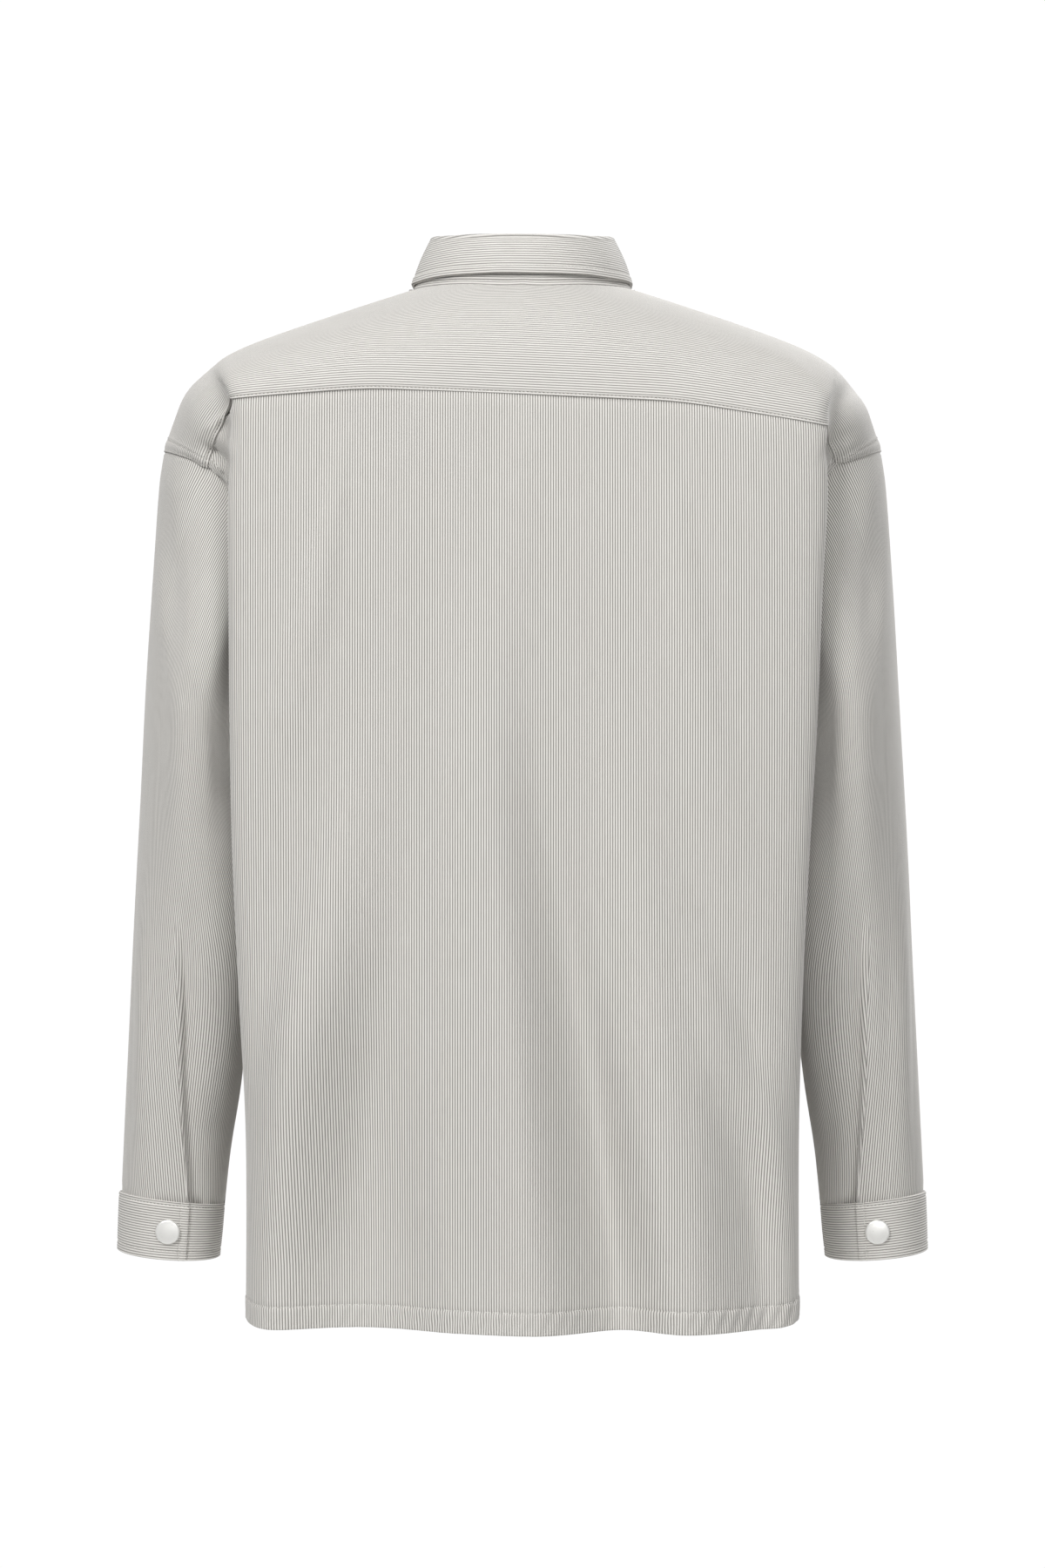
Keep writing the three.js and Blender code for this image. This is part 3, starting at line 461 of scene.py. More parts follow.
def sew(points, normals, lift=0.1, flip=False):
    turn = np.array([-1, 1, 1]) if flip else np.array([1, 1, 1])
    seams.append(((points + normals * lift) * turn * toMetres, normals * turn))


def alongRow(outer, normals, lines, targets):
    # points of each row at a distance across the cloth that changes from row to row
    def pick(grid, j):
        return [np.interp(targets[j], lines, grid[j, :, k]) for k in range(3)]
    return (np.array([pick(outer, j) for j in range(len(outer))]),
            np.array([pick(normals, j) for j in range(len(outer))]))


# Creases where the body turns into the shoulder: place, direction, half-width, length and height
shoulderCreases = [
    {"x": 216, "z": -74, "slope": 2.2, "half": 7, "length": 24, "height": -3.4},
    {"x": 232, "z": -86, "slope": 2.0, "half": 12, "length": 26, "height": 2.0},
    {"x": 213, "z": -104, "slope": 9.0, "half": 10, "length": 34, "height": -4.5},
    {"x": 214, "z": -94, "slope": -0.7, "half": 3, "length": 10, "height": 2.4},
    {"x": 219, "z": -119, "slope": 1.0, "half": 2.8, "length": 10, "height": -4.5},
    {"x": 224, "z": -125, "slope": 0.9, "half": 4, "length": 10, "height": 2.6},
    {"x": 214, "z": -109, "slope": 1.3, "half": 4, "length": 11, "height": 2.6},
    {"x": 228, "z": -131, "slope": 0.5, "half": 3, "length": 9, "height": -1.6},
    {"x": -227, "z": -78, "slope": -1.3, "half": 6, "length": 20, "height": -3.0},
    {"x": -240, "z": -92, "slope": -1.6, "half": 11, "length": 24, "height": 1.6},
    {"x": -221, "z": -108, "slope": -9.0, "half": 8, "length": 32, "height": -4.0},
    {"x": -222, "z": -112, "slope": -1.0, "half": 4, "length": 14, "height": -2.2},
    {"x": -176, "z": -52, "slope": 0.9, "half": 9, "length": 34, "height": 1.5},
    {"x": -196, "z": -60, "slope": 1.1, "half": 7, "length": 26, "height": 1.2},
    {"x": -150, "z": -50, "slope": 0.8, "half": 10, "length": 30, "height": 1.0},
    {"x": 170, "z": -52, "slope": -0.9, "half": 9, "length": 26, "height": 0.8},
]


def creaseHeight(creases, points):
    total = np.zeros(points.shape[:-1])
    for crease in creases:
        dx, dz = points[..., 0] - crease["x"], points[..., 2] - crease["z"]
        size = math.hypot(1, crease["slope"])
        along = (dx + crease["slope"] * dz) / size
        off = (dz - crease["slope"] * dx) / size
        total += crease["height"] * np.exp(-(off / crease["half"]) ** 2 - (along / crease["length"]) ** 2)
    return total * smoothstep(points[..., 1], 5, 30)


# Back panel
back = {
    "rowStep": 10.0,
    "hemStitch": 16.0,         # stitch line above the hem
    "hemLift": 0.35,           # the turned hem is thicker
    "pucker": 0.4,
    "puckerLength": 11.0,
    "feltWidth": 7.5,          # flat-felled band beside the armhole
    "tuck": 3.0,               # goes on under the yoke
    "folds": [
        {"x0": 36, "z0": -150, "x1": -14, "z1": -760, "bend": 1.2, "height": 26, "toLeft": 104, "toRight": 80},
        {"x0": 14, "z0": -230, "x1": -74, "z1": -760, "bend": 0.95, "height": -16, "toLeft": 66, "toRight": 44},
        {"x0": 112, "z0": -270, "x1": 192, "z1": -620, "bend": 1.7, "height": 18, "toLeft": 48, "toRight": 80},
        {"x0": 104, "z0": -430, "x1": 114, "z1": -760, "bend": 1, "height": -23, "toLeft": 84, "toRight": 72},
        {"x0": -55, "z0": -260, "x1": -118, "z1": -760, "bend": 0.9, "height": 22, "toLeft": 58, "toRight": 90},
        {"x0": -150, "z0": -420, "x1": -172, "z1": -760, "bend": 1, "height": -10, "toLeft": 62, "toRight": 36},
        {"x0": -112, "z0": -440, "x1": -196, "z1": -640, "bend": 1.2, "height": 11, "toLeft": 42, "toRight": 36},
        {"x0": 126, "z0": -100, "x1": 190, "z1": -380, "bend": 1.5, "height": 3.4, "toLeft": 34, "toRight": 30,
         "end": 1},
        {"x0": -106, "z0": -130, "x1": -150, "z1": -420, "bend": 1.4, "height": 3.4, "toLeft": 34, "toRight": 34,
         "end": 1},
        {"x0": 0, "z0": -90, "x1": 22, "z1": -420, "bend": 1, "height": 3, "toLeft": 50, "toRight": 50, "end": 1},
    ],
}


def hemRows(low, stitch):
    return low + np.array([0, 0.3, 0.75, 1.6, 4, 8, 12, stitch - 1.6, stitch - 0.7, stitch, stitch + 0.7,
                           stitch + 1.6, stitch + 4])


def hemHeight(fromHem, c, spec):
    # turned-up hem: thicker below its stitch line, puckered along it
    lift = spec["hemLift"] * (1 - smoothstep(fromHem, spec["hemStitch"] - 0.6, spec["hemStitch"] + 1.2))
    near = np.exp(-((fromHem - spec["hemStitch"] * 0.55) / 9.0) ** 2)
    uneven = 1 + 0.6 * np.sin(c / 37.0)
    pull = spec["pucker"] * near * uneven * np.sin(2 * math.pi * (c + 0.5 * fromHem) / spec["puckerLength"])
    return lift + pull + groove(fromHem - spec["hemStitch"], 0.7, 1.3) - edgeDrop(fromHem)


def feltHeight(fromEdge, width):
    # two rows of stitching hold a raised band beside the armhole
    lift = 0.8 * (1 - smoothstep(fromEdge, width - 0.3, width + 0.9))
    return lift + groove(fromEdge - 1.4, 0.6, 0.9) + groove(fromEdge - width + 0.9, 0.9, 1.1)


def makeBack():
    levels = np.concatenate([
        hemRows(body["hemLevel"], back["hemStitch"]),
        np.arange(body["hemLevel"] + 26, body["backYokeLevel"] - 62, back["rowStep"]),
        np.arange(body["backYokeLevel"] - 60, body["backYokeLevel"] - 5, 4.0),
        body["backYokeLevel"] + np.array([-3.5, -1.5, 0]),
    ])
    lines = {side: [backLine(level, side) for level in levels] for side in (1, -1)}
    totals = {side: np.array([lengthsOf(line)[-1] for line in lines[side]]) for side in (1, -1)}
    leftMost, rightMost = totals[1].max(), totals[-1].max()
    c = ribLines(-rightMost, leftMost)[::-1]
    rows = []
    for j in range(len(levels)):
        left = byShare(lines[1][j])(np.clip(c, 0, None) / totals[1][j])
        right = byShare(lines[-1][j])(np.clip(-c, 0, None) / totals[-1][j]) * np.array([-1, 1, 1])
        rows.append(np.where((c >= 0)[:, None], left, right))
    grid = np.array(rows)
    top = grid[-1] + (grid[-1] - grid[-2]) / np.linalg.norm(grid[-1] - grid[-2], axis=1)[:, None] * back["tuck"]
    grid = np.concatenate([grid, top[None]])
    levels = np.append(levels, body["backYokeLevel"] + back["tuck"])
    widths = {side: np.append(totals[side], totals[side][-1]) for side in (1, -1)}
    across = np.broadcast_to(c, grid.shape[:2])
    fromEdge = np.where(across >= 0, widths[1][:, None] - across, widths[-1][:, None] + across)
    fromHem = np.broadcast_to((levels - body["hemLevel"])[:, None], across.shape)
    fromTop = np.broadcast_to((body["backYokeLevel"] - levels)[:, None], across.shape)
    draped = grid + normalsOf(grid) * (foldHeight(back["folds"], grid) + creaseHeight(shoulderCreases, grid)
                                       + cloth["wobble"] * coarseWobble(grid))[..., None]
    normals = normalsOf(draped)
    live = fromEdge > 0
    aboveArm = smoothstep(levels, body["underarmLevel"] - 2, body["underarmLevel"] + 14)[:, None]
    sink = 0.9 * (1 - smoothstep(fromTop, 0, 7)) + 0.6 * (fromTop < 0)
    height = (ribHeight(across) * live + hemHeight(fromHem, across, back) - edgeDrop(np.maximum(fromEdge, 0))
              + feltHeight(np.maximum(fromEdge, 0), back["feltWidth"]) * aboveArm * live - sink)
    outer = draped + normals * height[..., None]
    inner = (draped - normals * cloth["wall"])[::2, ::8]
    inner = fitInner(draped - normals * (cloth["wall"] + sink[..., None]), 2, 8)
    uv = np.stack([across, np.broadcast_to(levels[:, None], across.shape)], axis=-1)
    piece = clothWall("backPanel", outer, uv, inner)
    arm = levels > body["underarmLevel"] + 6
    for side in (1, -1):
        for inset in (1.4, back["feltWidth"] - 0.8):
            target = side * (widths[side] - inset)
            path, up = alongRow(outer[:, ::-1], normals[:, ::-1], c[::-1], target)
            sew(path[arm], up[arm])
    hemRow = int(np.argmin(np.abs(levels - body["hemLevel"] - back["hemStitch"])))
    sew(outer[hemRow], normals[hemRow])
    return piece, areaOf(grid), (leftMost + rightMost, levels[-1] - levels[0])


def fitInner(grid, rowStep, colStep):
    # a coarser copy of a grid that keeps its four edges
    rows = np.unique(np.append(np.arange(0, grid.shape[0], rowStep), grid.shape[0] - 1))
    cols = np.unique(np.append(np.arange(0, grid.shape[1], colStep), grid.shape[1] - 1))
    return grid[np.ix_(rows, cols)]


# Yoke: one piece over both shoulders, its ribs parallel to the back seam
yoke = {
    "columnStep": 6.0,
    "edgeLift": 0.45,          # the turned edge lies on the back and on the fronts
    "stitchInset": 1.9,
    "feltWidth": 7.5,
}


def yokeSpot(s, t):
    # place of a point of the yoke's half on the shoulder: s out from the middle, t up from the back seam
    backTurn = math.pi / 2
    nape = float(neckSpot(0)[1])
    low = s
    neckPart = np.clip(s / 0.5, 0, 1) * neckCornerAngle
    neckAt, neckTurn = neckSpot(neckPart)
    outAt = lerp(neckCornerAcross, 1, np.clip((s - 0.5) / 0.5, 0, 1))
    highAt = np.where(s <= 0.5, neckAt, outAt)
    highTurn = np.where(s <= 0.5, neckTurn, frontSeamTurn)
    across = lerp(low, highAt, t) + lerp(0, 1, s) - lerp(s, s, t)
    turn = (lerp(backTurn, highTurn, t) + lerp(lerp(backTurn, nape, t), lerp(backTurn, frontSeamTurn, t), s)
            - lerp(backTurn, lerp(nape, frontSeamTurn, s), t))
    return np.minimum(across, 1), turn


def shoulderRunTable(side):
    # cloth distance from the back seam, by place across and turn
    across = np.linspace(0, 1, 81)
    turns = np.linspace(math.pi / 2, -1.2, 121)
    points = shoulder(across[:, None], turns[None, :], side)
    steps = np.linalg.norm(np.diff(points, axis=1), axis=-1)
    run = np.concatenate([np.zeros((81, 1)), np.cumsum(steps, axis=1)], axis=1)

    def at(a, turn):
        i = np.clip(a * 80, 0, 79.999)
        k = np.clip((math.pi / 2 - turn) / (math.pi / 2 + 1.2) * 120, 0, 119.999)
        i0, k0 = i.astype(int), k.astype(int)
        fi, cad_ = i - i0, k - k0
        low = lerp(run[i0, k0], run[i0, k0 + 1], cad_)
        high = lerp(run[i0 + 1, k0], run[i0 + 1, k0 + 1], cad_)
        return lerp(low, high, fi)
    return at


def yokeHalf(side, sLines, fineT, runLines):
    s = sLines[None, :] * np.ones((len(fineT), 1))
    t = fineT[:, None] * np.ones((1, len(sLines)))
    across, turn = yokeSpot(s, t)
    run = shoulderRunTable(side)(across, turn)
    tops = run[-1]
    tAt = np.stack([np.interp(np.minimum(runLines, tops[i]), run[:, i], fineT) for i in range(len(sLines))], axis=1)
    across, turn = yokeSpot(np.broadcast_to(sLines, tAt.shape), tAt)
    return shoulder(across, turn, side), tops


def makeYoke():
    ridge = float(lengthsOf(np.column_stack([ridgeX, 0 * ridgeX, ridgeZ(ridgeX)]))[-1])
    edge = np.array([0, 0.3, 0.8, 1.4, 2.2, 4.5, 6.0, 6.7, 7.4, 8.4, 11]) / ridge
    sLines = np.unique(np.round(np.concatenate([
        plainLines(0, 1 - 110 / ridge, yoke["columnStep"] / ridge),
        plainLines(1 - 107 / ridge, 1 - 14 / ridge, 0.5 * yoke["columnStep"] / ridge), 1 - edge]), 5))
    fineT = np.linspace(0, 1, 161)
    longest = 0
    for side in (1, -1):
        _, tops = yokeHalf(side, sLines, fineT, np.array([0.0, 1.0]))
        longest = max(longest, tops.max())
    inset = yoke["stitchInset"]
    runLines = ribLines(0, longest, extra=[inset - 0.8, inset, inset + 0.8])
    left, leftTops = yokeHalf(1, sLines, fineT, runLines)
    right, rightTops = yokeHalf(-1, sLines, fineT, runLines)
    grid = np.concatenate([left[:, ::-1], right[:, 1:] * np.array([-1, 1, 1])], axis=1)
    tops = np.concatenate([leftTops[::-1], rightTops[1:]])
    s = np.concatenate([sLines[::-1], sLines[1:]])
    run = np.minimum(runLines[:, None], tops[None, :])
    toTop = tops[None, :] - run
    onFront = (s > 0.5)[None, :]
    toArm = np.broadcast_to(((1 - s) * ridge)[None, :], run.shape)
    draped = grid + normalsOf(grid) * (creaseHeight(shoulderCreases, grid)
                                       + 0.6 * cloth["wobble"] * coarseWobble(grid, 60, 7.0))[..., None]
    normals = normalsOf(draped)
    seam = np.minimum(run, np.where(onFront, toTop, 1e3))
    lift = yoke["edgeLift"] * (1 - smoothstep(seam, 1, 12))
    live = (toTop > 0) & (toArm > 0)
    height = (ribHeight(runLines)[:, None] * live + lift - edgeDrop(seam) - edgeDrop(toArm)
              + groove(seam - inset, 0.6, 1.0) + feltHeight(toArm, yoke["feltWidth"]))
    outer = draped + normals * height[..., None]
    inner = fitInner(draped + normals * (lift * 0.6 - cloth["wall"])[..., None], 6, 1)
    across = np.broadcast_to((np.concatenate([sLines[::-1], -sLines[1:]]) * ridge)[None, :], run.shape)
    piece = clothWall("yokePanel", outer, np.stack([run, across], axis=-1), inner)
    row = int(np.argmin(np.abs(runLines - inset)))
    sew(outer[row], normals[row])
    for half in (s > 0.52, ):
        for block in (np.arange(len(s)) < len(sLines) - 1, np.arange(len(s)) > len(sLines) - 1):
            chosen = np.where(half & block)[0]
            rowOf = [int(np.argmin(np.abs(runLines - (tops[i] - inset)))) for i in chosen]
            sew(outer[rowOf, chosen], normals[rowOf, chosen])
    for inset in (1.4, yoke["feltWidth"] - 0.8):
        k = int(np.argmin(np.abs(sLines - (1 - inset / ridge))))
        for col in (len(sLines) - 1 - k, len(sLines) - 1 + k):
            rowsOf = np.where(runLines <= tops[col])[0]
            sew(outer[rowsOf, col], normals[rowsOf, col])
    return piece, areaOf(grid), (2 * ridge, longest)


# Fronts, the left one over the right
fronts = {
    "rowStep": 9.0,
    "hemStitch": 16.0, "hemLift": 0.35, "pucker": 0.25, "puckerLength": 11.0, "feltWidth": 7.5, "tuck": 2.5,
    "folds": [
        {"x0": 95, "z0": -230, "x1": 112, "z1": -760, "bend": 1.2, "height": 9, "toLeft": 55, "toRight": 48},
        {"x0": -88, "z0": -250, "x1": -118, "z1": -760, "bend": 1.2, "height": 8, "toLeft": 50, "toRight": 55},
        {"x0": 60, "z0": -120, "x1": 130, "z1": -400, "bend": 1.3, "height": 2.4, "toLeft": 34, "toRight": 30,
         "end": 1},
        {"x0": -70, "z0": -130, "x1": -140, "z1": -420, "bend": 1.4, "height": 2.4, "toLeft": 34, "toRight": 34,
         "end": 1},
        {"x0": 150, "z0": -300, "x1": 120, "z1": -600, "bend": 1.1, "height": 3, "toLeft": 30, "toRight": 30,
         "end": 1},
    ],
}


def lap(x):
    return body["lapStep"] * (1 - smoothstep(np.abs(x), 20, 60))


def frontRows(low, high):
    return np.concatenate([
        hemRows(body["hemLevel"], fronts["hemStitch"]),
        np.arange(body["hemLevel"] + 26, body["chestLevel"] - 4, fronts["rowStep"]), [body["chestLevel"]],
    ])


def frontSkin(c):
    # the left front as worn: rows of points by cloth distance c from the centre line
    levels = frontRows(body["hemLevel"], body["chestLevel"])
    rows, widths = [], []
    for level in levels:
        line = frontLine(level)
        total = lengthsOf(line)[-1]
        points = byShare(line)(np.abs(c) / total)
        points[:, 0] *= np.where(c < 0, -1, 1)
        rows.append(points)
        widths.append(total)
    across = np.clip(np.abs(c) / widths[-1], 0, 1)
    split = frontSplit(body["chestLevel"])
    corner = lengthsOf(chestFoot[:cornerSteps + 1])[-1]
    across = np.where(np.abs(c) <= corner, np.abs(c) / corner * split,
                      split + (np.abs(c) - corner) / (widths[-1] - corner) * (1 - split))
    across = np.clip(across, 0, 1)
    reach = body["neckFront"] / frontReach
    neckTurn = -np.arcsin(reach * np.sqrt(np.maximum(0, 1 - (across / neckAcross) ** 2)))
    topTurn = np.where(across < neckCornerAcross, neckTurn, frontSeamTurn)
    parts = np.concatenate([np.linspace(0, 1, 13)[1:-1], [0.975, 1]])
    for part in parts:
        points = shoulder(across, lerp(-math.pi / 2, topTurn, part), 1)
        points[:, 0] *= np.where(c < 0, -1, 1)
        rows.append(points)
        widths.append(widths[-1])
    heights = np.concatenate([levels - body["hemLevel"], levels[-1] - body["hemLevel"] + parts * 75])
    return np.array(rows), np.array(widths), heights


def makeFront(side):
    widest = max(lengthsOf(frontLine(level))[-1] for level in frontRows(0, 0))
    c = ribLines(-body["frontOverlap"], widest)
    grid, widths, heights = frontSkin(c)
    top = grid[-1] + (grid[-1] - grid[-2]) / np.linalg.norm(grid[-1] - grid[-2], axis=1)[:, None] * fronts["tuck"]
    grid = np.concatenate([grid, top[None]])
    widths = np.append(widths, widths[-1])
    heights = np.append(heights, heights[-1] + fronts["tuck"])
    across = np.broadcast_to(c, grid.shape[:2])
    fromEdge = widths[:, None] - across
    fromHem = np.broadcast_to(heights[:, None], across.shape)
    toTop = np.broadcast_to((heights[-2] - heights)[:, None], across.shape)
    seen = grid * np.array([side, 1, 1])
    lapLift = side * lap(grid[..., 0])
    draped = grid + normalsOf(grid) * (foldHeight(fronts["folds"], seen) + lapLift
                                       + cloth["wobble"] * coarseWobble(seen, 90, 3.0))[..., None]
    normals = normalsOf(draped)
    live = fromEdge > 0
    rowsUp = heights + body["hemLevel"]
    aboveArm = smoothstep(rowsUp, body["underarmLevel"] - 2, body["underarmLevel"] + 14)[:, None]
    sink = 1.1 * (1 - smoothstep(toTop, 0, 7)) + 0.6 * (toTop < 0)
    height = (ribHeight(across) * live + hemHeight(fromHem, across, fronts) - edgeDrop(np.maximum(fromEdge, 0))
              - edgeDrop(across + body["frontOverlap"]) - sink
              + feltHeight(np.maximum(fromEdge, 0), fronts["feltWidth"]) * aboveArm * live)
    outer = draped + normals * height[..., None]
    inner = fitInner(draped - normals * (cloth["wall"] + sink)[..., None], 2, 8)
    uv = np.stack([across, fromHem], axis=-1)
    piece = clothWall("frontPanelLeft" if side > 0 else "frontPanelRight", outer, uv, inner, flip=side < 0)
    arm = rowsUp > body["underarmLevel"] + 6
    for inset in (1.4, fronts["feltWidth"] - 0.8):
        path, up = alongRow(outer, normals, c, widths - inset)
        sew(path[arm], up[arm], flip=side < 0)
    hemRow = int(np.argmin(np.abs(heights - fronts["hemStitch"])))
    sew(outer[hemRow], normals[hemRow], flip=side < 0)
    return piece, areaOf(grid), (c[-1] - c[0], heights[-1])


# Snap band down the left front
band = {"width": 32, "thickness": 1.2, "stitchInset": 5.0}


def makeBand():
    half = band["width"] / 2
    inset = band["stitchInset"]
    c = ribLines(-half, half, extra=[inset - half - 0.7, inset - half, inset - half + 0.7,
                                     half - inset - 0.7, half - inset, half - inset + 0.7])
    grid, _, heights = frontSkin(c)
    across = np.broadcast_to(c, grid.shape[:2])
    fromSide = half - np.abs(across)
    fromHem = np.broadcast_to(heights[:, None], across.shape)
    draped = grid + normalsOf(grid) * (foldHeight(fronts["folds"], grid) + lap(grid[..., 0])
                                       + cloth["wobble"] * coarseWobble(grid, 90, 3.0))[..., None]
    normals = normalsOf(draped)
    height = (0.5 + band["thickness"] + ribHeight(across) - edgeDrop(fromSide) - edgeDrop(fromHem)
              - edgeDrop(heights[-1] - fromHem) + groove(fromSide - inset, 0.3, 1.0))
    outer = draped + normals * height[..., None]
    inner = fitInner(draped + normals * 0.15, 2, 6)
    piece = clothWall("frontBand", outer, np.stack([across, fromHem], axis=-1), inner)
    for target in (inset - half, half - inset):
        path, up = alongRow(outer, normals, c, np.full(len(outer), target))
        sew(path[1:-1], up[1:-1])
    return piece, areaOf(grid), (band["width"], heights[-1])


# Sleeves: rings from the armhole to the cuff, with ribs that run down the arm
sleeveColumns = ("at", "outX", "outZ", "inX", "inZ", "midY", "halfY")
sleeveSections = [dict(zip(sleeveColumns, row)) for row in (
    (0, 258.6, -112, 184, -308, 0, 78),
    (0.08, 262.6, -138, 190, -324, -3, 82),
    (0.2, 267.6, -205, 192.5, -352, -8, 82),
    (0.35, 272.8, -285, 193, -395, -14, 78),
    (0.5, 277.8, -370, 195, -445, -20, 71),
    (0.65, 282.5, -455, 199, -505, -26, 62),
    (0.8, 287.2, -540, 205.5, -568, -33, 53),
    (0.92, 291, -605, 213.5, -618, -39, 45),
    (1, 293.5, -650, 218, -659, -43, 39.5),
)]
sleeve = {
    "rowCount": 76,
    "twist": -0.05,            # how far round the ribs lean outwards on their way down
    "pleat": 30.0,             # cloth that the fold above the cuff takes in
    "pleatUsedUp": -650,
    "pleatFrom": -425, "pleatTo": -540, "pleatDepth": 9, "pleatFade": 0.05, "pleatLip": 1.6,
    "pleatEdge": 0.016,
    "folds": [                 # share of the way round, from and to level, depth and half-width
        {"share0": 0.21, "share1": 0.25, "from": -200, "to": -450, "depth": 5, "half": 0.08},
        {"share0": 0.31, "share1": 0.35, "from": -160, "to": -400, "depth": -6, "half": 0.07},
        {"share0": 0.36, "share1": 0.37, "from": -360, "to": -600, "depth": 10, "half": 0.11},
        {"share0": 0.78, "share1": 0.7, "from": -220, "to": -560, "depth": -5, "half": 0.08},
        {"share0": 0.05, "share1": 0.24, "from": -135, "to": -300, "depth": -3.4, "half": 0.045},
        {"share0": 0.12, "share1": 0.34, "from": -120, "to": -330, "depth": 3.0, "half": 0.04},
        {"share0": 0.10, "share1": 0.17, "from": -400, "to": -655, "depth": 3.0, "half": 0.06},
        {"share0": 0.9, "share1": 0.8, "from": -140, "to": -330, "depth": -3.0, "half": 0.05},
    ],
}
pleatPath = [
    {"level": -660, "share": 0.308}, {"level": -570, "share": 0.256}, {"level": -515, "share": 0.24},
    {"level": -450, "share": 0.222}, {"level": -380, "share": 0.21},
]
pleatShareAt = column(pleatPath, "level", "share")
sleeveAt = columns(sleeveSections, "at")


def armholeLoop():
    under, chest, seam = body["underarmLevel"], body["chestLevel"], body["backYokeLevel"]
    rise = 1 - np.cos(np.linspace(0, math.pi / 2, 61))
    front = np.array([frontLine(level)[-1] for level in lerp(under, chest, rise)])
    over = shoulder(1.0, np.linspace(-math.pi / 2, math.pi / 2, 121), 1)
    rear = np.array([backLine(level, 1)[-1] for level in lerp(seam, under, 1 - rise[::-1])])
    loop = np.concatenate([front[:-1], over, rear[1:]])
    top = int(np.argmax(loop[:, 0]))
    lengths = lengthsOf(loop)
    shares = np.where(lengths <= lengths[top], -0.5 + 0.5 * lengths / lengths[top],
                      0.5 * (lengths - lengths[top]) / (lengths[-1] - lengths[top]))
    return lambda share: np.stack([np.interp(share, shares, loop[:, k]) for k in range(3)], axis=-1)


def ringAt(along):
    ring = {name: float(value) for name, value in sleeveAt(along).items()}
    turn = np.linspace(-math.pi, math.pi, 361)
    mix = (1 + np.cos(turn)) / 2
    points = np.column_stack([lerp(ring["inX"], ring["outX"], mix), ring["midY"] + ring["halfY"] * np.sin(turn),
                              lerp(ring["inZ"], ring["outZ"], mix)])
    lengths = lengthsOf(points)
    total = lengths[-1]
    return total, lambda share: np.stack([np.interp((share + 0.5) * total, lengths, points[:, k])
                                          for k in range(3)], axis=-1)


def sleeveFoldHeight(share, z):
    total = np.zeros(share.shape)
    for fold in sleeve["folds"]:
        t = np.clip((fold["from"] - z) / (fold["from"] - fold["to"]), 0, 1)
        off = np.abs((share - lerp(fold["share0"], fold["share1"], t) + 1.5) % 1 - 0.5)
        total += fold["depth"] * np.sin(math.pi * t) * (1 - np.clip(off / fold["half"], 0, 1) ** 2) ** 2
    # the fold above the cuff: a lip on the outer side and a drop behind it
    past = (share - pleatShareAt(z) + 1.5) % 1 - 0.5
    deep = smoothstep(-z, -sleeve["pleatFrom"], -sleeve["pleatTo"])
    behind = sleeve["pleatDepth"] * np.exp(-np.clip(past, 0, 1) / sleeve["pleatFade"])
    before = sleeve["pleatLip"] * np.exp(np.clip(past, -1, 0) / 0.05)
    drop = smoothstep(past, 0, sleeve["pleatEdge"])
    return total + deep * (before * (1 - drop) - behind * drop)


def sleeveGrid(c, alongs, loopAt, plain=False):
    firstTotal, firstRing = ringAt(0)
    points, shares, clamped = [], [], []
    for along in alongs:
        total, ring = ringAt(along)
        lean = sleeve["twist"] * smoothstep(along, 0, 0.4) * (0 if plain else 1)
        share = c / (firstTotal if plain else total) + lean
        if not plain:
            level = float(lerp(-112, -650, along))
            taken = sleeve["pleat"] * smoothstep(-level, -sleeve["pleatFrom"], -sleeve["pleatUsedUp"]) / total
            start = float(pleatShareAt(level))
            share = np.where(share > start, np.maximum(start, share - taken), share)
        held = np.clip(share, -0.5, 0.5)
        keep = 1 - smoothstep(along, 0, 0.22)
        drift = (loopAt(held) - firstRing(held)) * keep
        points.append(ring(held) + drift)
        shares.append(held)
        clamped.append((share < -0.5) | (share > 0.5) | ((share == start) if not plain else False))
    return np.array(points), np.array(shares), np.array(clamped)


